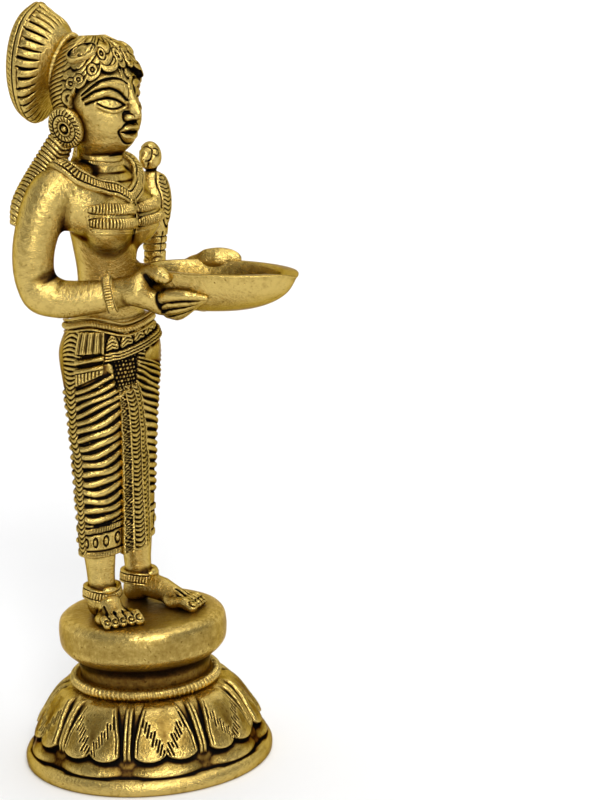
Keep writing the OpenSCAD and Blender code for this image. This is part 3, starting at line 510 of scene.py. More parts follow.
def bead_tree():
    tree = bpy.data.node_groups.new("bead_row", "GeometryNodeTree")
    face = tree.interface
    face.new_socket("Band", in_out="INPUT", socket_type="NodeSocketGeometry")
    for label in BEAD_SIZES:
        face.new_socket(label, in_out="INPUT", socket_type="NodeSocketFloat")
    face.new_socket("Finish", in_out="INPUT", socket_type="NodeSocketMaterial")
    face.new_socket("Row", in_out="OUTPUT", socket_type="NodeSocketGeometry")

    def node(kind, **inputs):
        return fill(tree, tree.nodes.new(kind), **inputs)

    def read(name, kind):
        n = node("GeometryNodeInputNamedAttribute", Name=name)
        n.data_type = kind
        return n.outputs["Attribute"]
    start = node("NodeGroupInput").outputs
    seat = read("bead", "BOOLEAN")
    bead = node("GeometryNodeMeshUVSphere", Segments=8, Rings=6)
    turn = node("FunctionNodeAxesToRotation", Primary_Axis=read("out", "FLOAT_VECTOR"),
                Secondary_Axis=read("along", "FLOAT_VECTOR"))
    turn.primary_axis, turn.secondary_axis = "Z", "X"
    scale = node("ShaderNodeCombineXYZ", **{axis: start[label] for axis, label in zip("XYZ", BEAD_SIZES)})
    put = node("GeometryNodeInstanceOnPoints", Points=start["Band"], Selection=seat, Instance=bead.outputs["Mesh"],
               Rotation=turn.outputs["Rotation"], Scale=scale.outputs[0])
    real = node("GeometryNodeRealizeInstances", Geometry=put.outputs[0])
    band = node("GeometryNodeDeleteGeometry", Geometry=start["Band"], Selection=seat)
    both = node("GeometryNodeJoinGeometry", Geometry=band.outputs[0])
    tree.links.new(real.outputs[0], both.inputs[0])
    smooth = node("GeometryNodeSetShadeSmooth", Geometry=both.outputs[0])
    paint = node("GeometryNodeSetMaterial", Geometry=smooth.outputs[0], Material=start["Finish"])
    node("NodeGroupOutput", Row=paint.outputs[0])
    return tree


BEADS = bead_tree()


def bead_row(name, seats, along, out, size, stands_for, band=(np.zeros((0, 3)), [np.zeros((0, 4), int)])):
    """seats, along and out are rows of vectors, size the bead's half measures in mm, band points and faces."""
    points, faces = band
    piece = new_piece(name, np.vstack([points, seats]), faces, stands_for)
    mesh = piece.data
    is_bead = np.arange(len(points) + len(seats)) >= len(points)
    mesh.attributes.new("bead", "BOOLEAN", "POINT").data.foreach_set("value", is_bead)
    for label, rows in (("along", along), ("out", out)):
        full = np.vstack([0 * points, rows]).astype(np.float32)
        mesh.attributes.new(label, "FLOAT_VECTOR", "POINT").data.foreach_set("vector", full.ravel())
    modifier = piece.modifiers.new("bead_row", "NODES")
    modifier.node_group = BEADS
    values = {label: half * MM for label, half in zip(BEAD_SIZES, size)} | {"Finish": FINISH["cast_brass"]}
    for item in BEADS.interface.items_tree:
        if item.name in values:
            modifier[item.identifier] = values[item.name]
    shape = bpy.data.meshes.new_from_object(piece.evaluated_get(bpy.context.evaluated_depsgraph_get()))
    piece.modifiers.remove(modifier)
    piece.data = shape
    bpy.data.meshes.remove(mesh)
    shape.name = name
    return piece


def round_loop(line):
    """Directions along a closed line."""
    return unit(np.roll(line, -1, 0) - np.roll(line, 1, 0))


def tube(line, across, out, wide, thick, sides):
    """Band of oval section along a closed line: points and faces."""
    x, y = wide * np.cos(turns(sides))[:, None], thick * np.sin(turns(sides))[:, None]
    ring = line[:, None] + across[:, None] * x + out[:, None] * y
    return ring.reshape(-1, 3), grid_faces(len(line), sides, True)


def ribbon(name, line, out, half, height, stands_for, back=0.7, across=13):
    """Band along a closed line. height gives the face from a turn of 0 to 1 along it and -1 to 1 across it."""
    along = round_loop(line)
    up = unit(np.cross(out, along))
    t = np.linspace(-1, 1, across)
    turn = np.arange(len(line))[:, None] / len(line)
    face = height(turn + 0 * t, t + 0 * turn)
    face = line[:, None] + up[:, None] * (half * t)[:, None] + out[:, None] * face[..., None]
    low = line[:, None] + up[:, None] * (half * np.array([0.8, 0, -0.8]))[:, None] - out[:, None] * back
    return relief(name, np.concatenate([face, low], 1), stands_for, loop=True)


def ribbed(count, tall, edge, lean=0.0):
    """Upright ribs between two plain edges."""
    def height(turn, t):
        ribs = ridge(turn * count + lean * t, 0.6) * ease(0.72, 0.6, np.abs(t))
        rims = dome((np.abs(t) - 0.85) / 0.15)
        return 0.15 + tall * 0.35 * dome(t) + tall * 0.6 * ribs + edge * rims
    return height


# %% [markdown]
# The collar hides the joint of plinth and base. On the lamp it is a rope of wax, laid into the corner before the
# casting. Here oval beads stand side by side on a round band and lean a little, as the strands of a rope do.
# %% Twisted collar
def rope_collar():
    count, radius, level, thick, lean = 92, 18.55, 22.2, 1.66, 0.16
    q = turns(count)
    line = np.stack([radius * np.cos(q), radius * np.sin(q), np.full(count, level)], -1)
    out = np.stack([np.cos(q), np.sin(q), np.zeros(count)], -1)
    along = round_loop(line) + np.array([0, 0, lean])
    core = thick - 0.45
    band = tube(line, np.tile([0, 0, 1.0], (count, 1)), out, core, core, 12)
    return bead_row("rope_collar.twist", line, along, out, (0.66, thick, thick), ["rope_collar"], band)


rope_collar()

# %% [markdown]
# Feet and ankles are sculpted from bars and balls that melt into each other: a heel, an instep, a ball and
# five toes with nails. Each leg is made at its own ankle, turned out, and cut flat where it stands.
# %% Feet and ankles
LEG_PLACE = {-1: ((-8.6, 6.9), -36.0), 1: ((7.6, 5.0), -9.0)}
FOOT = {-1: (-9.3, 4.3), 1: (-15.6, 3.4)}
ANKLE_R, SHIN_R = 3.6, 3.9
TOES = 5


def turned_by(degrees):
    a = math.radians(degrees)
    return np.array([[math.cos(a), math.sin(a)], [-math.sin(a), math.cos(a)]])


def foot_field(p, side):
    z = p[:, 2]
    front, spread = FOOT[side]
    shin = chain(p, [(0, 0, 4.5, ANKLE_R), (0, 0, 8, ANKLE_R - 0.1), (0, 0.1, 12, SHIN_R - 0.2),
                     (0, 0.1, 20, SHIN_R + 0.6)])
    d = join(shin, egg(p, (0, 1.0, 2.4), (3.5, 3.6, 3.2)), 1.6)
    d = join(d, chain(p, [(0, -0.6, 4.8, 3.5), (0, front * 0.5, 3.6, 3.2), (0, front * 0.85, 2.0, 2.5)]), 1.8)
    d = join(d, egg(p, (0, front + 1.6, 1.2), (spread + 1.2, 4.6, 2.2)), 1.4)
    for k in range(TOES):
        u = (k / (TOES - 1) - 0.5) * 2
        big = side * u < -0.9
        r = 1.55 if big else 1.22 - 0.06 * abs(u)
        tip = front - 3.0 - (0.9 if side < 0 else 1.5) * (1 - u * side) / 2
        root, end = (u * spread * 0.85, front + 1.6, 1.6), (u * spread, tip, 1.0)
        mid = (u * spread * 0.98, (root[1] + end[1]) / 2 - 0.4, 2.0)
        toe = np.minimum(limb(p, root, mid, r * 0.95, r), limb(p, mid, end, r, r * 0.92))
        d = join(d, toe, 0.3)
        nail = egg(p, (end[0], tip - r * 0.25, 1.0 + r * 0.72), (r * 0.66, r * 0.76, r * 0.3), 20, "X")
        d = carve(d, np.abs(nail) - 0.16, 0.08)
        d = join(d, nail + 0.12, 0.05)
        if k < TOES - 1:
            gap = (u + 0.25) * spread
            cleft = limb(p, (gap, front - 1.5, 2.6), (gap * 0.8, front + 2.6, 4.3), 0.5, 0.3)
            d = carve(d, cleft, 0.3)
    return np.maximum(np.maximum(d, -z), z - 18.4)


def leg(side):
    (cx, cy), splay = LEG_PLACE[side]
    points, quads = sculpt(lambda p: foot_field(p, side), (-8, -23, -1), (8, 7, 20), voxel=0.23)
    points = np.column_stack([points[:, :2] @ turned_by(splay) + [cx, cy], points[:, 2] + GROUND])
    name = SIDES[side] + "_leg"
    new_piece(name + ".foot", points, [quads], [name])


for side in SIDES:
    leg(side)

# %% [markdown]
# Each ankle wears a ribbed band between two rims. It dips to the instep and has a flat clasp in front. A band is
# one closed strip along a line, and its ribs are heights on that strip, so it needs no separate rods.
# %% Anklets
ANKLET_RIBS = 40


def anklet(side):
    (cx, cy), splay = LEG_PLACE[side]
    turn = turned_by(splay)
    q = turns(360)
    flat = np.stack([4.1 * np.cos(q), 4.3 * np.sin(q) - 0.25], -1)
    line = np.column_stack([flat @ turn + [cx, cy], 46.9 - 0.9 * np.maximum(0, -np.sin(q)) ** 2])
    out = unit(np.column_stack([np.stack([np.cos(q), np.sin(q)], -1) @ turn, np.full(len(q), 0.12)]))
    name = SIDES[side] + "_anklet"

    def height(turn, t):
        ribs = ridge(turn * ANKLET_RIBS, 0.6) * ease(0.6, 0.5, np.abs(t))
        rims = dome((np.abs(t) - 0.8) / 0.2)
        return 0.25 + 0.35 * dome(t) + 0.5 * ribs + 0.6 * rims
    ribbon(name + ".band", line, out, 1.75, height, [name], 0.9, 19)
    x, y = np.array([0.0, -1.0]) @ turn
    seat = np.array([[cx + 5.1 * x, cy + 5.1 * y, 47.9]])
    bead_row(name + ".clasp", seat, np.array([[-y, x, 0.0]]), np.array([[x, y, 0.5]]), (2.2, 1.1, 1.0), [name])


for side in SIDES:
    anklet(side)

# %% [markdown]
# The skirt is cloth drawn round both legs in deep folds. One grid covers it from hem to waist. Each fold is a
# rounded ridge whose height above the hem changes with the angle, so the folds sweep up to the pleat in front.
# The strips of waves on the outer sides and the bands of the hem are cut into the same grid.
# %% Skirt
STANCE_X, STANCE_Y, SWAY = -0.4, 6.8, 3.4
WAIST_Y = STANCE_Y - 2.6
HEM_LOW = HEM + 1.7
SKIRT_MM = 0.26  # to a degree round the skirt
ROSETTE_PITCH, LEAF_PITCH = 17.0, 17.5  # degrees
DOT_ROW, DOT_STEP = 1.05, 1.15
SKIRT = [
    (HEM, 15.2, 7.1, STANCE_X * 0.8 + SWAY * 0.2, STANCE_Y, 0.56),
    (KNEE, 16.5, 8.8, STANCE_X * 0.3 + SWAY * 0.7, STANCE_Y + 0.2, 0.62),
    (HIP - 9, 15.8, 11.4, SWAY, STANCE_Y + 0.6, 0.2),
    (HIP, 14.8, 12.8, SWAY, STANCE_Y + 0.6, 0.0),
    (WAIST - 3, 12.9, 11.0, 0.5 * SWAY, STANCE_Y - 0.8, 0.0),
    (WAIST, 11.4, 9.5, 0.0, WAIST_Y + 0.8, 0.0)]


def skirt_at(q, z, lift=0.0):
    q, z = np.broadcast_arrays(np.asarray(q, float), np.asarray(z, float))
    a, b, cx, cy, split = station(SKIRT, np.clip(z, HEM, WAIST))
    c, s = np.cos(np.radians(q)), np.sin(np.radians(q))
    part = 1 - split * np.abs(s) ** 9
    return np.stack([cx + (a * part + lift) * c, cy + (b * part + lift) * s, z], -1)


def side_turn(q, z):
    """Degrees from the outer side of a leg towards the front (positive) or the back, and which leg it is."""
    right = (q > 90) & (q < np.interp(z, [80, 87, 94, 101], [264, 258, 250, 240]))
    return np.where(right, away(q, 175), -away(q, 365)), right


def fold_rise(turn, right, z):
    """How far a fold that starts at height z on the outer side of a leg has risen after a turn to the front."""
    t = np.clip(turn / 60, 0, np.where(right, 1.5, 2.2))
    level = np.interp(z, [58, 67, 74, 80, 86, 92, 104], [-1.2, -1.8, -1.5, -0.2, 1.0, 4.3, 5.2])
    steep = np.interp(z, [58, 74, 86, 97, 106], [2.6, 4.2, 5.4, 4.6, 2.6])
    curl = np.interp(z, [58, 86, 92, 104], [2.1, 2.2, 1.0, 0.6])
    front = np.where(right, level * t + curl * t ** 3, steep * t + 0.3 * t ** 2)
    return front - 1.3 * np.clip(-turn / 60, 0, 1.2)


FOLD_Z = np.linspace(50, 112, 249)
FOLD_COUNT = np.concatenate([[0], np.cumsum(0.25 / np.interp(FOLD_Z[1:], [66, 80, 96], [2.35, 2.25, 2.0]))])
PLEAT_KEYS = np.array([(55, 265, 27.5), (70, 265, 27.5), (80, 264, 27.5), (87, 258, 24.0), (94, 250, 20.0),
                       (101, 240, 14.5)])


def pleat_span(z):
    """Middle and half width, in degrees, of the front pleat."""
    level, middle, half = PLEAT_KEYS.T
    return np.interp(z, level, middle), np.interp(z, level, half)


def in_cell(q, start, pitch):
    """Place of an angle in its cell of a repeated ornament, from -0.5 to 0.5."""
    return ((q - start) / pitch + 0.5) % 1 - 0.5


def skirt_height(q, z):
    turn, right = side_turn(q, z)
    level = z - fold_rise(turn, right, z)
    for _ in range(2):
        level = z - fold_rise(turn, right, level)
    count = np.interp(level, FOLD_Z, FOLD_COUNT) * np.where(right, 1.0, 1.2)
    phase = count + 0.11 * np.sin(0.11 * q + 1.7 * np.floor(count))
    folds = 1.15 * ridge(phase, 0.9) - 0.62
    top = np.where(q < 180, 100.6 + 5.4 * ease(150, 35, q), np.where(right, 100.6, 106.0))
    body = ease(65.2, 66.0, level) * ease(top + 0.6, top - 0.1, level)
    high = body * folds
    # strips of waves on the outer sides, from the hem to the girdle
    centre = np.interp(z, [58, 75, 84, 88, 102, 108, 116], [-7, -5, -5, -13, -13, -9, -14])
    half = np.interp(z, [58, 84, 102, 109, 116], [2.7, 2.8, 2.8, 4.2, 5.0])
    strip = (turn - centre) * SKIRT_MM
    inside = ease(half, half - 0.25, np.abs(strip))
    bow = np.interp(z, [100, 112], [0.22, -0.16])
    waves = 0.55 * ridge((z - bow * strip ** 2 * (2.6 / half)) / 1.24, 0.6) - 0.1
    waves = waves - 0.35 * hump(np.abs(strip) - half + 0.35, 0.2)
    tall = ease(HEM_LOW + 0.8, HEM_LOW + 1.6, z) * ease(116.5, 115.5, z)
    high = high * (1 - inside * tall) + waves * inside * tall
    # bands of the hem: ribs, a plain band with rosettes, ribs
    flat = z - HEM_LOW - 0.016 * np.clip(turn, 0, 60) * ease(2, 6, z - HEM_LOW)
    hem = (1 - inside * tall) * ease(8.3, 8.0, flat)
    ribs = ridge(q / 2.5, 0.5)
    lower = ease(0.0, 0.25, flat) * ease(1.7, 1.5, flat)
    upper = ease(6.2, 6.4, flat) * ease(7.8, 7.6, flat)
    plain = ease(2.0, 2.2, flat) * ease(5.9, 5.7, flat)
    border = (0.15 + 0.5 * ribs) * lower + (0.15 + 0.55 * ribs) * upper + 0.4 * plain - 0.25
    cell = in_cell(q, 197, ROSETTE_PITCH)
    bud = np.hypot(cell * ROSETTE_PITCH * SKIRT_MM, flat - 4.0)
    border = border + plain * (0.6 * dome(bud / 0.8) - 0.4 * hump(bud - 1.0, 0.2))
    high = high * (1 - hem) + border * hem
    return apron(q, z, high)


def apron(q, z, high):
    """Leaves under the girdle, a rolled sash across the front and a dotted ground below it."""
    sash = np.interp(q, [160, 208, 226, 247, 266, 300, 330], [108.4, 109.0, 109.5, 110.9, 112.1, 113.4, 113.6])
    front = ease(206, 209, q) * ease(330, 320, q)
    leafy = front * ease(0.6, 1.2, z - sash) * ease(116.4, 115.6, z)
    cell = in_cell(q, 216, LEAF_PITCH)
    blade = np.abs(cell) * LEAF_PITCH * SKIRT_MM / np.maximum(2.2 * dome((z - sash - 1.2) / 4.2), 0.05)
    veins = 0.35 * ridge((z - sash) / 0.95 + 1.2 * np.abs(cell) * 2, 0.5)
    leaves = np.where(blade < 1, 0.35 + veins, 0.1) - 0.45 * hump(blade - 1, 0.14)
    high = high * (1 - leafy) + (leaves - 0.1) * leafy
    cords = front * ease(1.25, 1.0, np.abs(z - sash))
    roll = 0.5 + 0.6 * ridge((z - sash) / 0.8 + 0.5, 0.6)
    high = high * (1 - cords) + roll * cords
    high = high - 0.45 * front * hump(np.abs(z - sash) - 1.45, 0.22)
    # dotted ground between the legs
    left = np.interp(z, [100.5, 107, 108.6], [223, 216, 206])
    right = np.interp(z, [100.5, 108], [253, 247])
    ground = ease(left - 1, left + 1.5, q) * ease(right + 1, right - 1.5, q)
    ground = ground * ease(99.5, 101, z) * ease(sash - 1.2, sash - 1.6, z)
    row = np.floor(z / DOT_ROW)
    side = q * SKIRT_MM / DOT_STEP + 0.5 * (row % 2) + 0.15 * np.sin(5.1 * row)
    dot = np.hypot((side % 1 - 0.5) * DOT_STEP, ((z / DOT_ROW) % 1 - 0.5) * DOT_ROW)
    large = 0.22 + 0.07 * np.sin(3.3 * np.floor(side) + 7.7 * row)
    high = high * (1 - ground) + (0.45 * hump(dot, large) - 0.8) * ground
    # the left hip is plain above the first fold
    plain = ease(254, 257, q) * ease(318, 305, q) * ease(sash - 1.2, sash - 1.8, z)
    plain = plain * ease(106.4, 107.4, z + 0.07 * (q - 257))
    return high * (1 - plain)


def skirt():
    q = np.concatenate([np.arange(140, 330, 0.62), np.arange(330, 500, 1.5)])
    z = np.linspace(HEM_LOW, WAIST, 234)
    qq, zz = np.meshgrid(q, z)
    return relief("skirt.folds", skirt_at(qq, zz, skirt_height(qq % 360, zz)), ["skirt"])


skirt()

# %% [markdown]
# The pleat hangs between the legs as one long strip of small tucks. It is a slab on the skirt's own surface,
# with a plain ridge at each edge and rows of scales between them.
# %% Front pleat
PLEAT_TOP, TUCK = 101.0, 1.22


def front_pleat():
    u, v = np.meshgrid(np.linspace(-1, 1, 84), np.linspace(0, 1, 250))
    z = HEM_LOW - 0.4 + (PLEAT_TOP - HEM_LOW + 0.4) * v
    middle, half = pleat_span(z)
    grain = np.sin(z * 6.4 + 2.0 * np.sin(z * 1.3)) * np.sin(u * 21 + 1.5 * np.sin(z * 2.1))
    high = ease(-0.5, -0.6, u) * (0.35 * grain - 0.25)
    for column, wide, shift in ((-0.14, 0.32, 0.0), (0.6, 0.29, 0.4)):
        x = (u - column) / wide
        inside = ease(1.0, 0.9, np.abs(x))
        arcs = ridge(z / TUCK + shift - 0.5 * x * x + 0.12 * np.sin(0.9 * z), 0.8)
        spine = ridge(z / TUCK + shift + 0.5, 0.6) * hump(x, 0.28)
        high = high + inside * (0.7 * arcs + 0.25 * spine - 0.5)
    for rib, wide in ((-0.96, 0.05), (-0.52, 0.05), (0.25, 0.05), (0.94, 0.06)):
        high = high + 0.5 * dome((u - rib) / wide) * (0.8 + 0.2 * np.sin(4.5 * z))
    high = high - 0.5 * ease(0.96, 1.0, np.abs(u))
    crown = (1.5 - 0.6 * u * u) * ease(1.0, 0.86, v) + 0.2 * ease(1, 0.95, v) - 0.5 * ease(0.96, 1.0, v)
    deep = np.interp(z, [HEM, 88, 96], [3.6, 3.0, 0.8]) * hump(away(middle + u * half, 270), 22)
    outer = skirt_at(middle + u * half, z, crown + high + deep)
    inner = skirt_at(middle + u * half, z, -0.6)
    return slab("front_pleat.tucks", outer, inner, ["front_pleat"])


front_pleat()

# %% [markdown]
# The girdle is a rope between two thin cords and covers the upper edge of the skirt. It sags in front, as a heavy
# chain does. The cords are round bands along the same line, and the beads of the rope lean across it.
# %% Girdle
GIRDLE_BEADS = 96


def girdle():
    q = np.arange(GIRDLE_BEADS) * 360 / GIRDLE_BEADS
    sag = station([(-40, 1.2), (0, 1.6), (110, 2.0), (150, 1.3), (185, 0.2), (207, 0.9), (232, 2.3), (258, 1.6),
                   (284, 0.9), (320, 1.2), (360, 1.6), (470, 2.0)], q)[0]
    z = WAIST - 0.2 - sag
    line = skirt_at(q, z, 0.5)
    out = skirt_at(q, z, 1.5) - line
    along = round_loop(line)
    up = np.cross(out, along)
    points, faces = np.zeros((0, 3)), [np.zeros((0, 4), int)]
    for shift, wide, thick in ((0, 0.85, 0.5), (1.5, 0.34, 0.6), (-1.5, 0.34, 0.6)):
        more, quads = tube(line + up * shift - out * 0.1, up, out, wide, thick, 8)
        faces.append(quads[0] + len(points))
        points = np.vstack([points, more])
    return bead_row("girdle.rope", line, along + 0.45 * up, out, (0.42, 0.95, 0.85), ["girdle"],
                    (points, [np.concatenate(faces)]))


girdle()

# %% [markdown]
# A sash is knotted on each hip: upright folds, two rolls of cloth with a dark slot between them, and a fringe.
# %% Hip sashes
SASH_MIDDLE, SASH_HALF = 191, 17  # degrees


def hip_sash(side):
    u, v = np.meshgrid(np.linspace(-1, 1, 110), np.linspace(0, 1, 130))
    z = 101.2 + 15.0 * v
    turn = SASH_MIDDLE + SASH_HALF * u
    x = u * SASH_HALF * SKIRT_MM
    y = z - 0.042 * (turn - 190)
    upright = ease(109.7, 110.1, z) * (0.8 * ridge(u * 2.1 + 0.5, 0.5) + 0.2 * ridge(u * 6.3, 0.5))
    fringe = ease(105.7, 105.3, y) * (0.3 + 0.55 * ridge(u * 4.3, 0.5))
    high = np.maximum(upright, fringe)
    for level, half in ((106.1, 0.75), (108.35, 0.85)):
        high = np.maximum(high, 1.15 * dome((y - level) / half))
    for level, wide in ((107.25, 3.2), (109.4, 3.4)):
        high = high - 1.3 * hump(np.hypot(x / wide, (y - level) / 0.5), 0.85)
    low = 103.1 + 0.1 * (turn - 190)
    edge = ease(1.0, 0.93, np.abs(u)) * ease(1.0, 0.96, v) * ease(low - 0.3, low + 0.2, z)
    place = turn if side < 0 else 540 - turn
    outer = skirt_at(place, z, 0.45 * edge + high * edge - 0.4 * (1 - edge))
    name = SIDES[side] + "_hip_sash"
    slab(name + ".cloth", outer, skirt_at(place, z, -0.9), [name])


for side in SIDES:
    hip_sash(side)

# %% [markdown]
# Torso and arms are one sculpt, so that the shoulders flow into the arms as they do in a casting. The trunk is a
# stack of ovals, the breasts and shoulders are eggs, the arms are bars along a path. The skin is then parted
# into torso, right arm and left arm, each closed, along the line where the arm's own field takes over.
# %% Trunk and arms as fields
CHEST_X, HEAD_X, HEAD_Y = -2.0, -3.0, WAIST_Y - 1.5
ELBOW_Z, RIM_LEVEL, SHOULDER_Z = WAIST + 7.6, WAIST + 14.2, THROAT - 5
ARM_SPANS, ARM_BEND = 6, 20  # spans of an arm's path, and the node at the elbow
TORSO = [
    (WAIST - 4, 10.6, 8.9, 0.0, WAIST_Y + 0.9),
    (WAIST, 10.4, 8.7, 0.0, WAIST_Y + 0.8),
    (WAIST + 4.6, 8.8, 7.6, CHEST_X * 0.4, WAIST_Y + 0.3),
    (WAIST + 12, 8.2, 7.3, CHEST_X * 0.75, WAIST_Y),
    (WAIST + 18.6, 9.6, 7.9, CHEST_X * 0.9, WAIST_Y - 0.3),
    (THROAT - 12, 12.3, 8.4, CHEST_X, WAIST_Y - 0.6),
    (THROAT - 6, 12.6, 7.8, CHEST_X, WAIST_Y - 0.4),
    (THROAT - 2, 9.6, 6.5, CHEST_X - 0.4, WAIST_Y - 0.4),
    (THROAT, 6.6, 6.1, HEAD_X, HEAD_Y + 1.2),
    (THROAT + 3, 5.8, 5.7, HEAD_X, HEAD_Y + 1.0),
    (THROAT + 7, 5.4, 5.4, HEAD_X, HEAD_Y + 1.0)]


def oval_stack(p, rows):
    x, y, z = p.T
    a, b, cx, cy = station(rows, np.clip(z, rows[0][0], rows[-1][0]))
    k = np.hypot((x - cx) / a, (y - cy) / b)
    slope = np.maximum(np.hypot((x - cx) / a ** 2, (y - cy) / b ** 2), 1e-6)
    d = np.maximum(k * (k - 1) / slope, -4)
    return np.maximum(d, np.maximum(rows[0][0] - z, z - rows[-1][0]))


def arm_path(side, n=36):
    """Rows of x, y, z and radius from the shoulder to the wrist. The left elbow lies closer to the body."""
    e = side > 0
    rows = [
        (0, side * 11.4, WAIST_Y + 1.3, SHOULDER_Z + 1.2, 5.0),
        (0.5, side * 14.2, WAIST_Y + 2.4, SHOULDER_Z + 0.8, 5.5),
        (1, side * 17.2, WAIST_Y + 4.9, SHOULDER_Z - 1.4, 5.9),
        (2, side * (20.2 - e), WAIST_Y + 8.2 - e, (SHOULDER_Z + ELBOW_Z) / 2, 5.3),
        (3, side * (19.7 - e), WAIST_Y + 8.4 - e, ELBOW_Z + 3.2, 5.0),
        (4, side * (18.5 - e), WAIST_Y + 3.6 - e, ELBOW_Z - 0.4, 4.9),
        (5, side * 16.2, WAIST_Y - 5.6, ELBOW_Z - 0.2, 4.2),
        (6, side * 13.3, WAIST_Y - 12.6, ELBOW_Z + 0.8, 3.6)]
    x, y, z, r = station(rows, np.linspace(0, ARM_SPANS, n))
    return np.stack([x + CHEST_X, y, z, r], -1)


BOWL_LEN, BOWL_W, BOWL_H, BOWL_WALL, BOWL_TIP = 41.4, 29.0, 10.5, 2.1, math.radians(2.6)
BOWL_BACK, BOWL_KEEL = WAIST_Y - 12.6, 0.17
BOWL_LEVELS = np.array([(0, 0.3), (0.06, 0.5), (0.25, 0.72), (0.55, 0.89), (1, 1)])


def leaf(q, k):
    q = np.radians(q)
    x = BOWL_W / 2 * k * np.sin(q) * np.abs(np.sin(q / 2)) ** 0.16
    return x, BOWL_BACK - BOWL_LEN / 2 - BOWL_LEN / 2 * k * np.cos(q)


def on_bowl(side, q, level, lift):
    k = np.interp(level, BOWL_LEVELS[:, 0], BOWL_LEVELS[:, 1])
    x, y = leaf(q, k + 2 * lift / BOWL_LEN)
    z = RIM_LEVEL - BOWL_H + BOWL_H * level + (y - BOWL_BACK) * math.tan(BOWL_TIP) - lift * (1 - level)
    return np.array([CHEST_X + side * (abs(x) + lift * 0.4), y + BOWL_LEN * BOWL_KEEL * (1 - k), z])


# Lines of the fingers on the bowl: angle, level up the wall, lift, radius
FINGERS = (
    ((124, 0.40, 1.5, 1.7), (112, 0.51, 1.5, 1.6), (97, 0.54, 1.1, 1.3), (82, 0.46, 0.4, 0.75)),
    ((126, 0.28, 1.5, 1.65), (113, 0.36, 1.5, 1.5), (98, 0.39, 1.1, 1.25), (83, 0.41, 0.4, 0.7)),
    ((127, 0.17, 1.5, 1.6), (115, 0.20, 1.5, 1.45), (101, 0.25, 1.1, 1.2), (85, 0.36, 0.4, 0.65)),
    ((130, 0.08, 1.4, 1.5), (119, 0.05, 1.5, 1.4), (104, 0.11, 1.1, 1.15), (88, 0.30, 0.4, 0.6)))
THUMBS = {
    -1: ((149, 0.66, 1.6, 2.4), (139, 0.86, 1.2, 2.3), (130, 0.95, 0.7, 1.9), (121, 0.93, 0.5, 2.1),
         (114, 0.86, 0.6, 1.4)),
    1: ((130, 0.86, 1.4, 1.6), (120, 0.98, 0.2, 1.9), (112, 0.98, -0.6, 1.8))}


def on_hand(side, row):
    return np.append(on_bowl(side, *row[:3]), row[3])


def smooth_rows(rows, n):
    return np.stack(station(np.column_stack([np.arange(len(rows)), rows]), np.linspace(0, len(rows) - 1, n)), -1)


def hand_field(p, side):
    wrist = np.array([CHEST_X + side * 13.3, WAIST_Y - 12.4, ELBOW_Z + 0.8])
    palm = np.array([CHEST_X + side * 13.6, WAIST_Y - 16.4, ELBOW_Z + 0.9])
    d = limb(p, wrist, palm, 3.4, 3.1)
    lines = [smooth_rows(np.array([on_hand(side, row) for row in finger]), 7) for finger in FINGERS]
    for line in lines:
        d = join(d, limb(p, palm, line[0, :3] * 0.75 + palm * 0.25, 2.6, 1.9), 1.4)
    for line in lines:
        d = join(d, chain(p, line), 0.22)
        d = join(d, ball(p, line[0, :3] + np.array([side * 0.35, 0.2, 0]), line[0, 3]), 0.3)
    thumb = np.array([on_hand(side, row) for row in THUMBS[side]])
    root = limb(p, wrist + np.array([0, -1.5, 1.0]), thumb[0, :3], 2.7, 2.3)
    web = limb(p, wrist + np.array([0, -2.0, 0.6]), thumb[2, :3], 3.0, 1.7)
    mount = limb(p, palm + np.array([0, -0.6, 1.6]), thumb[1, :3], 2.7, 2.0)
    d = join(join(join(d, root, 1.6), web, 1.2), mount, 1.2)
    if side > 0:
        pad = egg(p, on_bowl(side, 109, 1.0, -0.5), (1.5, 5.6, 3.0), 12)
        return join(join(d, chain(p, thumb), 0.9), pad, 2.0)
    return join(d, chain(p, smooth_rows(thumb, 10)), 0.9)


def breast_fields(p):
    d = np.full(len(p), 1e9)
    for side in SIDES:
        d = np.minimum(d, egg(p, (CHEST_X + side * 6.9, -1.6, THROAT - 13.6), (7.3, 5.9, 6.9)))
    return d


def trunk_field(p):
    d = join(oval_stack(p, TORSO), breast_fields(p), 2.5)
    for side in SIDES:
        d = join(d, egg(p, (CHEST_X + side * 12.0, WAIST_Y - 0.4, THROAT - 9.0), (5.8, 6.6, 6.6)), 2.5)
        slope = limb(p, (HEAD_X + side * 4, WAIST_Y + 0.6, THROAT - 1.6),
                     (CHEST_X + side * 12.5, WAIST_Y + 1.9, SHOULDER_Z + 1.5), 3.2, 4.8)
        d = join(d, slope, 1.5)
    x, y, z = p.T
    throat = ease(11, 9, np.hypot(x - HEAD_X, y - HEAD_Y - 1))
    for level in (1.4, -1.0, -3.2):
        d = d + 0.22 * throat * hump(z - THROAT - level - 0.1 * (y - HEAD_Y), 0.55)
    return d


ARM_NODES = {side: arm_path(side) for side in SIDES}


def arm_field(p, side):
    nodes = ARM_NODES[side]
    upper, lower = chain(p, nodes[:ARM_BEND + 1]), chain(p, nodes[ARM_BEND:])
    return join(join(upper, lower, 1.8), hand_field(p, side), 0.8)


def body_field(p):
    d = trunk_field(p)
    for side in SIDES:
        d = join(d, arm_field(p, side), 3.4)
    return np.maximum(d, WAIST - 3 - p[:, 2])


# %% [markdown]
# The casting is one skin, but torso and arms are pieces of their own. The skin is parted along the line where an
# arm's own field takes over, and each cut is closed inside the metal. The parts keep the normals and hollows of
# the whole skin, so no seam shows.
# %% Part the body into torso and arms
WHOLE = {}


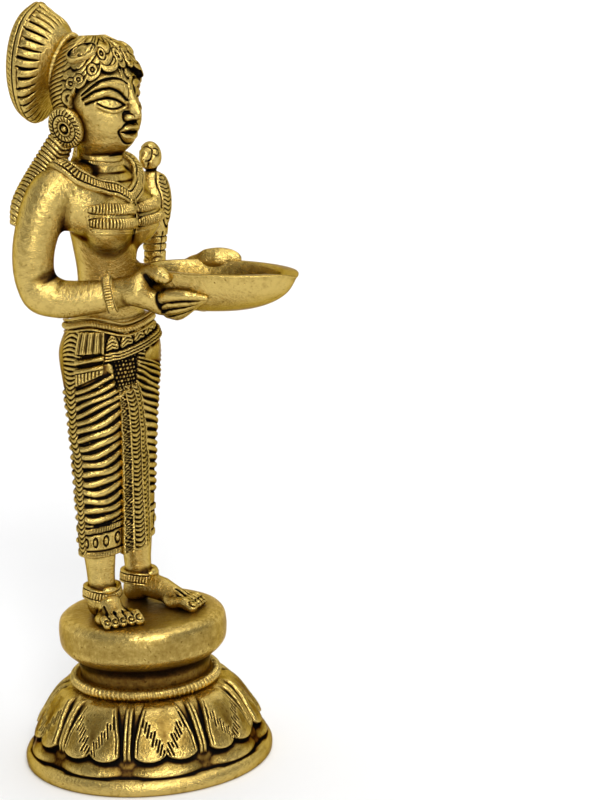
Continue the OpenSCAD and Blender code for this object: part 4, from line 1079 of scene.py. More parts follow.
def close_part(name, points, quads, stands_for, normals, deep):
    """A closed piece from some quads of a skin, with fans over its open edges."""
    used, index = np.unique(quads, return_inverse=True)
    quads = index.reshape(quads.shape)
    points, normals = points[used], normals[used]
    edges = np.stack([quads, np.roll(quads, -1, 1)], -1).reshape(-1, 2)
    key = np.sort(edges, 1)
    _, first, count = np.unique(key, axis=0, return_index=True, return_counts=True)
    rim = edges[first[count == 1]]
    follow = {int(b): int(a) for a, b in rim}
    fans = []
    while follow:
        start = next(iter(follow))
        loop, at = [start], follow.pop(start)
        while at != start and at in follow:
            loop.append(at)
            at = follow.pop(at)
        if len(loop) > 2:
            points = np.vstack([points, points[loop].mean(0) - normals[loop].mean(0) * 1.5])
            loop = np.array(loop)
            fans.append(np.stack([loop, np.roll(loop, -1), np.full(len(loop), len(points) - 1)], -1))
    extra = len(points) - len(used)
    piece = new_piece(name, points, [quads] + ([np.concatenate(fans)] if fans else []), stands_for)
    WHOLE[name] = [np.append(d[used], np.zeros(extra)) for d in deep]
    flat = np.vstack([normals, np.tile([0, 0, 1.0], (extra, 1))])
    piece.data.normals_split_custom_set_from_vertices(flat.tolist())
    return piece


def skin_normals(field, points):
    n = np.stack([field(points + 0.1 * axis) - field(points - 0.1 * axis) for axis in np.eye(3)], -1)
    return n / np.maximum(np.linalg.norm(n, axis=1), 1e-9)[:, None]


def body():
    points, quads = sculpt(body_field, (-30, -31, WAIST - 4), (26, 22, THROAT + 8.5), voxel=0.3)
    normals = skin_normals(body_field, points)
    edges = np.unique(np.sort(np.stack([quads, np.roll(quads, -1, 1)], -1).reshape(-1, 2), 1), axis=0)
    deep = hollows(points, normals, edges, HOLLOW_STEPS)
    middle = points[quads].mean(1)
    own = np.stack([trunk_field(middle) - 0.4] + [chain(middle, ARM_NODES[s]) for s in SIDES]
                   + [hand_field(middle, s) for s in SIDES])
    part = np.argmin(own, 0)
    for label, numbers in (("torso.body", [0]), ("right_arm.limb", [1, 3]), ("left_arm.limb", [2, 4])):
        close_part(label, points, quads[np.isin(part, numbers)], [label.split(".")[0]], normals, deep)


body()

# %% [markdown]
# The bowl is a leaf: the same outline, larger at each level, up the outside and down the inside. A dozen rows
# round the rim off.
# %% Oil bowl
def oil_bowl():
    q = np.arange(180) * 2.0

    def ring(k, z, inset):
        tip = inset / BOWL_WALL
        x, y = leaf(q, k - 2 * inset / BOWL_LEN - 0.05 * tip)
        x = x * (1 - 0.5 * inset / BOWL_W + 0.05 * tip)
        y = y + 1.1 * tip
        z = z + (y - BOWL_BACK) * math.tan(BOWL_TIP) - 0.9 * hump(away(q, 0), 16) * k ** 4
        return np.stack([CHEST_X + x, y + BOWL_LEN * BOWL_KEEL * (1 - k), z], -1)
    grow = smooth_line(BOWL_LEVELS, 6)
    floor = RIM_LEVEL - BOWL_H
    edge = ((0.02, 0.3), (0.12, 0.12), (0.35, 0.02), (0.8, 0.0), (1.3, 0.0), (1.75, 0.03), (1.98, 0.14),
            (2.08, 0.35))
    rows = [ring(k, floor + BOWL_H * level, 0) for level, k in grow[:-1]]
    rows += [ring(1, RIM_LEVEL - drop, inset) for inset, drop in edge]
    rows += [ring(k, floor + BOWL_WALL + (BOWL_H - BOWL_WALL) * level, BOWL_WALL) for level, k in grow[-2::-1]]
    return relief("oil_bowl.leaf", np.array(rows), ["oil_bowl"])


oil_bowl()

# %% [markdown]
# The face is a relief too. The head is an oval shell, and the features are heights on it: a sharp nose, full lips,
# long eyes under arched brows. Chased lines mark the lids and brows, as the maker cuts them after casting.
# Flat measures on the face are millimetres round the head from its middle, and height.
# %% Head
HEAD_TURN = math.radians(12)
HEAD_H = CROWN - CHIN
ROUND = 0.183
HEAD = [
    (THROAT - 1, 6.4, 6.1, 1.2),
    (THROAT + 1, 5.9, 5.8, 1.1),
    (CHIN - 1.2, 5.9, 5.9, 0.6),
    (CHIN + 0.3, 6.2, 6.9, -0.6),
    (CHIN + 2.0, 7.0, 7.9, -1.1),
    (CHIN + 7, 8.9, 9.7, -0.7),
    (CHIN + HEAD_H * 0.5, 10.2, 10.5, 0.0),
    (CROWN - 8, 9.3, 10.0, 0.4),
    (CROWN - 2.6, 5.9, 6.2, 0.8),
    (CROWN, 1.2, 1.4, 1.0)]


def head_at(u, z, lift=0.0):
    """Point of the head: u is the angle in degrees from the middle of the face, lift goes straight out."""
    u, z = np.broadcast_arrays(np.asarray(u, float), np.asarray(z, float))
    a, b, back = station(HEAD, np.clip(z, HEAD[0][0], CROWN))
    q = np.radians(u + 270)
    x, y = (a + lift) * np.cos(q), back + (b + lift) * np.sin(q)
    c, s = math.cos(HEAD_TURN), math.sin(HEAD_TURN)
    return np.stack([HEAD_X + x * c + y * s, HEAD_Y - x * s + y * c, z], -1)


EYE_LINES = {
    "lid": [(12.0, 172.5), (22, 173.7), (37, 174.35), (52, 173.9), (69, 173.0)],
    "low_lid": [(12.0, 172.4), (22, 171.75), (33, 171.6), (44, 172.2), (52, 173.1)],
    "fold": [(7.5, 173.6), (17, 175.6), (33, 176.7), (53, 176.1), (72, 174.2)],
    "brow": [(5.0, 177.6), (14, 178.7), (27, 179.1), (47, 178.4), (72, 175.2)]}


def face_height(u, z):
    side = np.abs(u)
    t = side * ROUND
    lines = {k: np.array(v) * [ROUND, 1] for k, v in EYE_LINES.items()}

    def between(upper, lower):
        top = np.interp(t, lines[upper][:, 0], lines[upper][:, 1])
        low = np.interp(t, lines[lower][:, 0], lines[lower][:, 1])
        inside = (t > lines[lower][0, 0]) & (t < min(lines[upper][-1, 0], lines[lower][-1, 0]))
        return np.where(inside, np.clip((z - low) / np.maximum(top - low, 0.05), 0, 1), 0)
    high = np.zeros_like(u)
    # sockets, eyeballs, lids and brows
    high -= 0.75 * hump(t - 5.2, 4.2) * hump(z - 174.2, 2.3)
    ball_band = between("lid", "low_lid")
    high += 0.3 * (dome(2 * ball_band - 1) - (ball_band > 0)) * hump(t - 5.4, 4.0)
    high += 0.58 * np.sin(np.pi * between("fold", "lid")) + 0.7 * np.sin(np.pi * between("brow", "fold"))
    for name, depth, width in (("lid", 0.55, 0.24), ("low_lid", 0.34, 0.2), ("fold", 0.5, 0.24),
                               ("brow", 0.42, 0.24)):
        high -= depth * groove(t, z, lines[name], width)
    high += 0.28 * groove(t, z, lines["low_lid"] - [0, 0.55], 0.3)
    # cheeks, chin and jaw
    high += 0.55 * hump(t - 6.0, 4.0) * hump(z - 168.2, 3.4)
    high += 1.05 * hump(t, 2.7) * hump(z - 162.6, 1.3)
    # nose: bridge, tip and wings
    bridge = np.interp(z, [168.4, 168.9, 169.8, 171.2, 173.6, 176.6, 178.6], [0, 2.5, 3.25, 2.75, 1.9, 0.85, 0.2])
    width = np.interp(z, [168.4, 170.2, 172.5, 176.5, 178.6], [1.5, 1.3, 1.2, 1.4, 2.0])
    high += bridge * hump(t, width)
    wing = np.hypot(t - 2.0, (z - 169.25) / 0.9)
    high += 1.25 * dome(wing)
    high -= 0.55 * groove(t, z, [(1.7, 170.75), (2.7, 170.6), (3.2, 169.7), (3.0, 168.7)], 0.24)
    high -= 0.5 * hump(np.hypot((t - 1.15) / 1.1, (z - 168.35) / 0.55), 0.55)
    # lips: two rolls, parted by a deep line and edged by chased lines
    mouth = np.clip(1 - (t / 4.3) ** 2, 0, 1)
    bow = 166.7 + 0.3 * hump(t - 1.2, 1.0) - 0.12 * t
    low = 164.25 + 0.12 * t
    high += 1.4 * mouth ** 0.6 * hump(z - bow, 0.8)
    high += 1.55 * mouth ** 0.8 * hump(z - low, 0.9)
    high -= mouth ** 0.5 * hump(z - 165.55 - 0.015 * t * t, 0.27)
    high -= 0.5 * groove(t, z, [(0, 167.8), (1.3, 168.1), (2.9, 167.4), (4.5, 166.1)], 0.24)
    high -= 0.55 * groove(t, z, [(0, 162.75), (1.8, 162.95), (3.4, 163.9), (4.6, 165.7)], 0.28)
    high -= 0.35 * hump(np.hypot((t - 4.6) / 0.6, (z - 165.9) / 0.9), 0.8)
    high -= 0.25 * hump(t, 0.45) * hump(z - 168.0, 0.5)
    # mark on the brow
    mark = np.hypot(t / 0.75, (z - 180.3) / 1.2)
    high += 0.5 * dome(mark) - 0.35 * hump(mark - 1.2, 0.22)
    # folds of the throat
    for level in (158.4, 160.0):
        high -= 0.28 * hump(z - level + 0.00024 * u * u, 0.25) * ease(95, 70, side)
    return high


def head():
    u = np.concatenate([np.linspace(-96, 96, 300, endpoint=False), np.linspace(96, 264, 60, endpoint=False)])
    z = np.concatenate([np.linspace(THROAT - 0.9, 181, 165), np.linspace(181.3, CROWN, 18)])
    uu, zz = np.meshgrid(u, z)
    return relief("head.face", head_at(uu, zz, face_height(away(uu, 0), zz)), ["head"])


head()

# %% [markdown]
# The hair is combed back from a parting and ends in scallops on the brow, with curls cut as rings. The cap is a
# shell over the head: its lower edge is the hairline, and its height field holds strokes, rings and a rolled edge.
# %% Hair cap
HAIRLINE = np.array([(0, 183.0), (3, 182.3), (15.5, 182.3), (42, 181.5), (61, 179.3), (75, 177.4), (84, 175.0),
                     (91, 171.8), (100, 169.0), (120, 167.4), (180, 166.4)])
SCALLOPS = ((3, 15.5, 1.1), (15.5, 42, 1.5), (42, 61, 1.5), (61, 75, 1.3), (75, 84, 0.8))
CURLS = ((-86, 174.6, 1.9), (86, 174.6, 1.9), (-82, 178.2, 1.3), (82, 178.2, 1.3), (-10, 184.0, 1.3),
         (-54, 181.2, 1.15), (-72, 179.2, 1.1), (-38, 184.2, 1.1), (12, 184.0, 1.3), (54, 181.2, 1.15),
         (74, 179.4, 1.1), (36, 184.0, 1.1))


def hairline(u):
    side = np.abs(away(u, 0))
    z = np.interp(side, HAIRLINE[:, 0], HAIRLINE[:, 1])
    for a, b, deep in SCALLOPS:
        z = z - deep * dome((side - (a + b) / 2) / ((b - a) / 2))
    return z


def hair_height(u, z, edge):
    side = np.abs(u)
    roll = 0.55 * dome((edge - 0.75) / 0.8) * ease(88, 80, side)
    # strokes run back from the parting and wave as they go
    sweep = (z - 160) * 0.55 + side * 0.055 + 0.5 * np.sin(side * 0.16 + z * 0.5)
    comb = ridge(sweep * 1.05, 0.5) * 0.42 - 0.2
    behind = ridge((z + 0.05 * side) / 1.05, 0.5) * 0.38 - 0.2
    strokes = np.where(side < 95, comb, behind)
    high = strokes * ease(1.1, 1.6, edge)
    for cu, cz, r in CURLS:
        d = np.hypot(away(u, cu) * ROUND, z - cz)
        ring = 0.5 * dome((d - r * 0.78) / (r * 0.34)) + 0.45 * hump(d, r * 0.28) - 0.15
        inside = ease(r * 1.3, r * 1.12, d)
        high = high * (1 - inside) + ring * inside
    high = np.maximum(high, roll - 0.1)
    return high - 0.5 * hump(u * ROUND, 0.5) * ease(181, 183, z)


def hair_cap():
    u = np.linspace(-180, 180, 340, endpoint=False)
    t = np.linspace(0, 1, 120)
    uu, tt = np.meshgrid(u, t)
    low = hairline(uu)
    zz = low + (CROWN - low) * tt ** 0.85
    edge = np.minimum(zz - low, 40)
    thick = (1.45 - 0.35 * ease(40, 15, np.abs(uu))) * ease(-0.35, 0.35, edge) + 0.25
    lift = thick + hair_height(away(uu, 0), zz, edge)
    top = 0.9 * ease(CROWN - 9, CROWN, zz)
    outer = head_at(uu, zz, lift) + np.stack([0 * zz, 0 * zz, top * lift], -1)
    return relief("hair_cap.curls", np.concatenate([head_at(uu[:1], zz[:1], -0.8), outer]), ["hair_cap"])


hair_cap()

# %% [markdown]
# Flat ornaments sit on the head in a frame of their own: a place, a direction to the right, one up and one out.
# The frame can be turned to the front or leant, and a disc is a relief over it.
# %% Places and discs on the head
def on_head(u, z, lift):
    """Place and axes on the head: right, up along the head, and straight out."""
    p = head_at(u, z, lift)
    right = head_at(u + 1, z, lift) - head_at(u - 1, z, lift)
    up = head_at(u, z + 0.3, lift) - head_at(u, z - 0.3, lift)
    out = np.cross(right, up)
    right, out = unit(right), unit(out)
    return p, right, np.cross(out, right), out


def turned(place, degrees):
    """The same place, turned towards the front about its upright axis."""
    p, right, up, out = place
    a = math.radians(degrees)
    return p, right * math.cos(a) + out * math.sin(a), up, out * math.cos(a) - right * math.sin(a)


def leaning(place, degrees):
    """The same place, turned in its own plane."""
    p, right, up, out = place
    a = math.radians(degrees)
    return p, right * math.cos(a) - up * math.sin(a), up * math.cos(a) + right * math.sin(a), out


def disc(name, place, half, height, stands_for, back=0.8, rings=34, around=120):
    """Round or oval relief on a place of the head; height gives the face of the disc."""
    p, right, up, out = place
    a = turns(around)
    rr = np.linspace(1, 0.02, rings)[:, None]
    x, y = half[0] * rr * np.cos(a), half[1] * rr * np.sin(a)
    h = height(np.broadcast_to(rr, x.shape), np.broadcast_to(a, x.shape), x, y)
    face = p + x[..., None] * right + y[..., None] * up + h[..., None] * out
    foot = p + x[:1, :, None] * 0.96 * right + y[:1, :, None] * 0.96 * up - back * out
    return relief(name, np.concatenate([foot, face]), stands_for)


# %% [markdown]
# The ear discs are flowers: two rings of slanted strokes round a knob. The brooches are ovals with a raised edge
# and four curls. A maker presses both from a stamp and sets them on the wax.
# %% Ear discs and brooches
EAR_STROKES = (27, 17)  # in the outer and the inner ring


def ear_face(rr, a, x, y):
    many, few = (a * count / (2 * np.pi) for count in EAR_STROKES)
    outer = ease(0.66, 0.71, rr) * ease(0.97, 0.9, rr) * (0.6 * ridge(many + 2.2 * rr, 0.6) - 0.45)
    inner = ease(0.38, 0.43, rr) * ease(0.63, 0.57, rr) * (0.5 * ridge(few - 1.8 * rr, 0.6) - 0.4)
    h = 1.0 + 0.35 * hump(rr - 0.6, 0.25) + outer + inner * np.clip(0.7 + 0.5 * np.sin(2 * a), 0, 1)
    h = h - 0.3 * hump(rr - 0.65, 0.035)
    h = h + 0.75 * dome(rr / 0.16) + 0.3 * hump(rr - 0.3, 0.05) - 0.4 * hump(rr - 0.21, 0.04)
    return h - 0.9 * ease(0.93, 1.0, rr)


def brooch_face(rr, a, x, y):
    h = 0.55 + 0.4 * hump(rr - 0.92, 0.07) - 0.35 * hump(rr - 0.8, 0.05) - 0.9 * ease(0.95, 1.0, rr)
    for cx, cy in ((-2.0, 0.7), (0.15, 1.15), (-0.3, -1.0), (2.0, -0.3)):
        d = np.hypot(x - cx, y - cy)
        h = h - 0.4 * hump(d - 0.9, 0.2) + 0.3 * hump(d, 0.35) - 0.25 * hump(d - 0.45, 0.14)
    return h


for side, name in SIDES.items():
    ear, temple = on_head(side * 103, CHIN + 6.1, 2.3), on_head(side * 69, CROWN - 2.5, 2.3)
    disc(name + "_earring.flower", turned(ear, side * 24), (4.6, 5.5), ear_face, [name + "_earring"], 2.0)
    disc(name + "_hair_brooch.oval", leaning(temple, side * 28), (4.2, 2.8), brooch_face, [name + "_hair_brooch"],
         1.4, 30, 96)

# %% [markdown]
# The bun is a fan: combed ribs spread from a beaded ring to a sharp rim, and the back closes in a low dome.
# %% Hair bun
BUN_ROOT = np.array([HEAD_X + 1.2, HEAD_Y + 10.2, CHIN + HEAD_H * 0.69])
BUN_W, BUN_H, BUN_TILT, BUN_BACK = 21.6, 28.2, math.radians(20), 1.7
RING_UP, RING_SHARE, RING_DEPTH = 2.8, 0.53, -0.75
COMB_RIBS, HATCHES, BUN_BEADS = 34, 64, 46


def in_bun(x, y, depth):
    """Bun measures: x to the figure's left, y up the fan, depth backwards from the ring."""
    depth = depth + BUN_BACK
    c, s = math.cos(BUN_TILT), math.sin(BUN_TILT)
    return BUN_ROOT + np.stack(np.broadcast_arrays(x, depth * c - y * s, y * c + depth * s), -1)


def hair_bun():
    a = turns(400)
    depth_size = [(0, 0.55), (0.7, 0.66), (1.6, 0.78), (3.0, 0.9), (4.6, 0.975), (6.0, 1.0), (7.2, 1.0),
                  (8.6, 0.985), (9.8, 0.93), (10.9, 0.78), (11.7, 0.5), (12.0, 0.2)]
    v = np.concatenate([np.linspace(0, 6.4, 52), np.linspace(6.5, 7.6, 14), np.linspace(7.7, 12, 34)])
    size = station(depth_size, v)[0][:, None]
    vv = v[:, None]
    count = a * COMB_RIBS / (2 * np.pi)
    far = 5.9 + 0.5 * np.sin(1.7 * np.floor(count))
    wedge = np.clip(1 - (np.abs(count % 1 - 0.5) * 2 / (1.05 - 0.03 * vv)) ** 5, 0, 1)
    comb = ease(1.3, 2.8, vv) * ease(far + 0.5, far - 0.5, vv) * (0.25 + 0.75 * ease(-0.85, -0.5, np.sin(a)))
    edge = ease(6.2, 6.6, vv) * ease(7.6, 7.3, vv)
    back = ease(7.6, 8.1, vv) * ease(12, 11.0, vv)
    hatch = ridge(a * HATCHES / (2 * np.pi) + 0.25 * vv, 0.6)
    lift = comb * (1.2 * wedge - 0.95) + edge * 0.25 + back * (0.16 * hatch - 0.1)
    lift = lift - 0.45 * hump(vv - 7.75, 0.2)
    crest = 1.1 * hump(away(np.degrees(a), 84), 13) * ease(4.5, 6.5, vv) * ease(11, 8.5, vv)
    rx, ry = BUN_W / 2 * size + lift, BUN_H / 2 * size + lift + crest
    up = RING_UP * np.clip((1 - size) / 0.5, 0, 1) * ease(7.5, 6.0, vv)
    upright = 0.23 * ry * np.sin(a) * np.clip(vv / 6.5, 0, 1)
    fan = in_bun(rx * np.cos(a), ry * np.sin(a) + up, vv - 0.2 * lift + upright)
    return relief("hair_bun.fan", fan, ["hair_bun"])


hair_bun()


def bun_ring():
    a = turns(BUN_BEADS)
    rx, ry = BUN_W / 2 * RING_SHARE, BUN_H / 2 * RING_SHARE
    line = in_bun(rx * np.cos(a), ry * np.sin(a) + RING_UP, RING_DEPTH)
    out = unit(in_bun((rx + 1) * np.cos(a), (ry + 1) * np.sin(a) + RING_UP, RING_DEPTH) - line)
    along = round_loop(line)
    return bead_row("bun_ring.beads", line, along, out, (0.52, 0.95, 0.95), ["bun_ring"],
                    tube(line, np.cross(out, along), out, 0.8, 0.75, 8))


bun_ring()

# %% [markdown]
# Two plaits fall from the nape over the shoulders. Each is a round bar along a path whose radius swells with every
# turn of the plait, so one grid is enough.
# %% Hair locks
PLAIT_STEP = 1.15


def hair_lock(side):
    rows = [(0, HEAD_X + side * 6.6, HEAD_Y + 7.0, CHIN + 4, 3.0),
            (1, CHEST_X + side * 10.6, WAIST_Y + 9.9, THROAT - 1.0, 4.0),
            (2, CHEST_X + side * 16.4, WAIST_Y + 12.6, THROAT - 8.0, 3.2),
            (3, CHEST_X + side * 19.0, WAIST_Y + 14.0, THROAT - 13.2, 1.5)]
    v = np.linspace(0, 3, 170)
    x, y, z, r = station(rows, v)
    line = np.stack([x, y, z], -1)
    along = unit(np.gradient(line, axis=0))
    side_way = unit(np.cross(along, [0, 1.0, 0]))
    up = np.cross(side_way, along)
    a = turns(56)
    length = np.concatenate([[0], np.cumsum(np.linalg.norm(np.diff(line, axis=0), axis=1))])
    twist = ridge(length[:, None] / PLAIT_STEP + 1.1 * np.abs(np.sin(a - 0.6)), 0.7)
    radius = r[:, None] * (0.93 + 0.14 * twist)
    way = np.cos(a)[:, None] * up[:, None] + np.sin(a)[:, None] * side_way[:, None]
    name = SIDES[side] + "_hair_lock"
    return relief(name + ".plait", line[:, None] + radius[..., None] * way, [name])


for side in SIDES:
    hair_lock(side)

# %% [markdown]
# Jewels lie on the body, so their lines are found on its skin: a ray goes out from the axis at a given angle and
# height until the field of the body changes sign.
# %% Lines on the body
def on_body(q, z):
    """Points of the trunk's skin and the directions straight out of it."""
    q, z = np.broadcast_arrays(np.asarray(q, float), np.asarray(z, float))
    flat, level = np.radians(q.ravel()), z.ravel()
    way = np.stack([np.cos(flat), np.sin(flat), 0 * flat], -1)
    start = np.stack([np.full(len(flat), CHEST_X), np.full(len(flat), WAIST_Y - 0.4), level], -1)
    low = np.full(len(flat), 3.0)
    for step in np.arange(4, 22, 1.0):
        low = np.where((low > step - 1.1) & (body_field(start + step * way) < 0), step, low)
    high = low + 1.0
    for _ in range(9):
        middle = (low + high) / 2
        inside = body_field(start + middle[:, None] * way) < 0
        low, high = np.where(inside, middle, low), np.where(inside, high, middle)
    p = start + low[:, None] * way
    return p.reshape(*q.shape, 3), skin_normals(body_field, p).reshape(*q.shape, 3)


def settle(line):
    """A line near the body, moved on to its skin, and the directions straight out of it."""
    for _ in range(8):
        line = line - skin_normals(body_field, line) * body_field(line)[:, None]
    return line, skin_normals(body_field, line)


# %% [markdown]
# A twisted choker lies round the throat. The necklace is a broad ribbed collar between two ropes that drops to a
# pendant between the breasts. Its line is laid near the body first, then drawn on to the skin and evened out.
# %% Choker and necklace
CHOKER_STROKES, NECKLACE_RIBS, ROPE_STROKES = 84, 84, 150


def choker():
    u = np.linspace(-180, 180, 720, endpoint=False)
    z = THROAT + 1.7 - 1.0 * np.cos(np.radians(u))
    line = head_at(u, z, 0.0)
    out = head_at(u, z, 1.0) - line
    ribbon("choker.twist", line, out, 0.55, ribbed(CHOKER_STROKES, 0.3, 0.15, 0.6), ["choker"], 0.6, 11)


# The necklace's line on the body: the front half follows the photo
NECKLACE = ((-3.3, -4.3, 149.3), (-7.2, -3.2, 151.4), (-10.4, -1.8, 152.3), (-13.5, -0.9, 153.2),
            (-16, 0.4, 154.5), (-17.8, 2, 156), (-17.4, 6, 158), (-13, 10, 157.2), (-3, 11, 158), (6, 9.5, 157.5),
            (10, 5.5, 158.4), (9.7, 0, 154.7), (6.6, -1.5, 152.4), (1, -3.8, 150.4))


def necklace():
    n = len(NECKLACE)
    line, out = settle(smooth_line(NECKLACE * 3, 60)[60 * n:120 * n])
    for _ in range(40):
        line = (line + np.roll(line, 1, 0) + np.roll(line, -1, 0)) / 3
        out = (out + np.roll(out, 1, 0) + np.roll(out, -1, 0)) / 3
    out = unit(out)

    def height(turn, t):
        ribs = ridge(turn * NECKLACE_RIBS, 0.7) * ease(0.5, 0.4, np.abs(t))
        rope = dome((np.abs(t) - 0.74) / 0.2) * (0.55 + 0.3 * ridge(turn * ROPE_STROKES, 0.6))
        return 0.2 + 0.7 * ribs + 0.75 * rope + 0.2 * dome(t)
    ribbon("necklace.ribs", line, out, 2.3, height, ["necklace"], 1.2, 27)
    p, n = on_body(np.array(265.0), np.array(THROAT - 9.4))
    right = unit(np.cross([0, 0, 1.0], n))

    def face(rr, a, x, y):
        petals = 0.3 * ridge(a * 8 / (2 * np.pi), 0.5) * ease(0.3, 0.45, rr)
        return 0.75 + petals + 0.5 * hump(rr, 0.25) - 0.7 * ease(0.9, 1, rr)
    disc("necklace.pendant", (p, right, np.cross(n, right), n), (1.9, 2.3), face, ["necklace"], 1.2, 16, 64)


choker()
necklace()

# %% [markdown]
# The bodice is two narrow ribbed bands over each breast, with a hollow line between them and one below. They are
# one thin patch on the skin: each patch tapers to nothing at its ends, so it reads as part of the casting.
# %% Bodice
BODICE_RIBS = 25


def bodice(side):
    tt, vv = np.meshgrid(np.linspace(0, 1, 230), np.linspace(0, 1, 74))
    q = 270 + side * (2 + 74 * tt)
    low = 139.4 + 1.6 * tt
    high = 149.3 - 0.4 * tt
    z = low + (high - low) * vv
    p, n = on_body(q, z)
    ends = dome(2 * tt - 1)
    lift = 0.12
    for middle, slope, half in ((146.7, 1.8, 1.4), (143.3, 1.8, 1.45)):
        at = (z - middle - slope * (tt - 0.45)) / (half * np.clip(ends * 1.25, 0.05, 1))
        ribs = 0.35 + 0.6 * ridge(tt * BODICE_RIBS, 0.6)
        lift = np.maximum(lift, 0.15 + dome(at) * ribs * ease(0, 0.12, tt) * ease(1, 0.9, tt))
    for middle, slope in ((148.4, 1.4), (145.0, 1.8), (141.4, 1.8)):
        lift = lift - 0.65 * hump(z - middle - slope * (tt - 0.45), 0.3) * ease(0.02, 0.2, tt) * ease(1, 0.85, tt)
    border = np.minimum(np.minimum(tt, 1 - tt) * 18, np.minimum(vv, 1 - vv) * 10)
    lift = lift * ease(0, 0.35, border) - 0.35 * ease(0.35, 0, border)
    name = SIDES[side] + "_bodice_bands"
    return slab(name + ".chased", p + n * lift[..., None], p - n * 0.7, [name])


for side in SIDES:
    bodice(side)

# %% [markdown]
# A ribbed armlet sits on the left upper arm, and a bangle on each wrist. All three are the same strip, laid round
# the arm's path at some distance from the shoulder.
# %% Armlet and bangles
ARM_STEPS = 240


def arm_ring(name, side, v, half, lift, height, stands_for):
    path = arm_path(side, ARM_STEPS + 1)
    i = int(round(v / ARM_SPANS * ARM_STEPS))
    along = unit(path[i + 2, :3] - path[i - 2, :3])
    first = np.cross(along, [0, 0, 1.0])
    if np.linalg.norm(first) < 0.3:
        first = np.cross(along, [1.0, 0, 0])
    first = unit(first)
    second = np.cross(along, first)
    a = turns(480)
    out = np.cos(a)[:, None] * first + np.sin(a)[:, None] * second
    line = path[i, :3] + out * (path[i, 3] + lift)
    return ribbon(name, line, out, half, height, stands_for, 0.8, 15)


arm_ring("armlet.ribs", 1, 2.2, 1.5, 0.1, ribbed(46, 0.8, 0.15), ["armlet"])
for side, name in SIDES.items():
    arm_ring(name + "_bangle.ribs", side, 5.55, 1.35, 0.15, ribbed(40, 0.75, 0.3), [name + "_bangle"])

# %% [markdown]
# The parrot sits at the figure's left arm, its tail down and its head beside the shoulder. It is sculpted like the
# limbs, and the feathers are cuts in the same field: arcs on the wings, a grid on the tail, a line at the neck and
# the beak.
# %% Parrot
BIRD = np.array([26.5, 5.4, 0.0])


def parrot_field(p):
    v = p - BIRD
    x, y, z = v.T
    d = chain(v, [(0.1, 0, 151.4, 3.0), (0.2, 0, 146, 4.9), (0.2, 0, 140, 4.2), (0.3, 0.1, 134, 3.3),
                  (0.2, 0.1, 129.4, 2.8)])
    for side in SIDES:
        d = join(d, egg(v, (0.9, side * 2.2, 144.8), (3.7, 2.6, 7.9), 6, "Y"), 0.3)
        d = join(d, egg(v, (-0.4, side * 1.4, 129.4), (2.6, 1.4, 1.3)), 0.3)
    d = join(d, egg(v, (0.2, 0, 157.2), (3.2, 3.0, 4.0)), 0.5)
    d = join(d, chain(v, [(-2.4, 0, 157.6, 1.7), (-3.4, 0, 156.4, 1.3), (-3.2, 0, 154.9, 0.7)]), 0.3)
    cut = 0.55 * hump(z - 153.4 + 0.1 * x, 0.35)
    wing = np.hypot((x - 0.9) / 3.0, (z - 146.2) / 7.8)
    flank = np.abs(y) > 1.2
    cut = np.maximum(cut, 0.5 * hump((wing - 1) * 3.0, 0.26) * flank)
    fan = ((z - 138) / 1.15 + 0.35 * np.cos((x - 0.5) * 1.6)) % 1
    cut = np.maximum(cut, 0.35 * hump(fan - 0.5, 0.18) * ease(0.92, 0.78, wing) * flank * (z > 139.5) * (x < 1.9))
    cut = np.maximum(cut, 0.4 * hump(x - 2.0 + 0.12 * (z - 146), 0.22) * (wing < 0.95) * flank)
    tail = np.minimum(np.abs((z / 1.9) % 1 - 0.5) * 1.9, np.abs(((x + 10.4) / 1.7) % 1 - 0.5) * 1.7)
    cut = np.maximum(cut, 0.45 * hump(tail, 0.22) * ease(131.2, 131.8, z) * ease(137.6, 137.0, z))
    eye = np.abs(np.hypot(x + 0.9, z - 158.4) - 0.9)
    cut = np.maximum(cut, 0.35 * hump(eye, 0.22) * (np.abs(y) > 1.5))
    mouth = from_line(x, z, np.array([[-4.0, 156.2], [-2.4, 156.3], [-1.6, 158.9], [-1.9, 160.2]]))
    cut = np.maximum(cut, 0.45 * hump(mouth, 0.24))
    return d + cut


def parrot():
    points, quads = sculpt(parrot_field, (20.5, 0.1, 127.0), (32.5, 11.7, 162.4), voxel=0.2)
    return new_piece("parrot.chased", points, [quads], ["parrot"])


parrot()

# %% [markdown]
# Patina stays where a cloth can't reach, and shade is painted where light can't reach. Two measures find such
# places.
# The first is the hollows of each mesh, which show the chased lines as patina. It needs the points, normals and
# edges of the finished pieces.
# %% Arrays of a mesh
def mesh_arrays(mesh):
    n = len(mesh.vertices)
    points, normals = np.empty(n * 3, np.float32), np.empty(n * 3, np.float32)
    mesh.vertices.foreach_get("co", points)
    mesh.vertex_normals.foreach_get("vector", normals)
    edges = np.empty(len(mesh.edges) * 2, np.int32)
    mesh.edges.foreach_get("vertices", edges)
    return points.reshape(-1, 3) / MM, normals.reshape(-1, 3), edges.reshape(-1, 2)

# %% [markdown]
# The second measure paints shade. It is a grid of small cells that all pieces fill together, and it is blurred:
# where it is still full just outside a surface there is a corner between pieces, and where the wider blur is still
# full there is a deep place among them. The metal is darkened there as if shaded.
# %% Grid of all pieces
CELL = 0.5
GRID_LOW = np.array([-36.0, -54.0, -3.0])
GRID_COUNT = np.array([144, 180, 408])


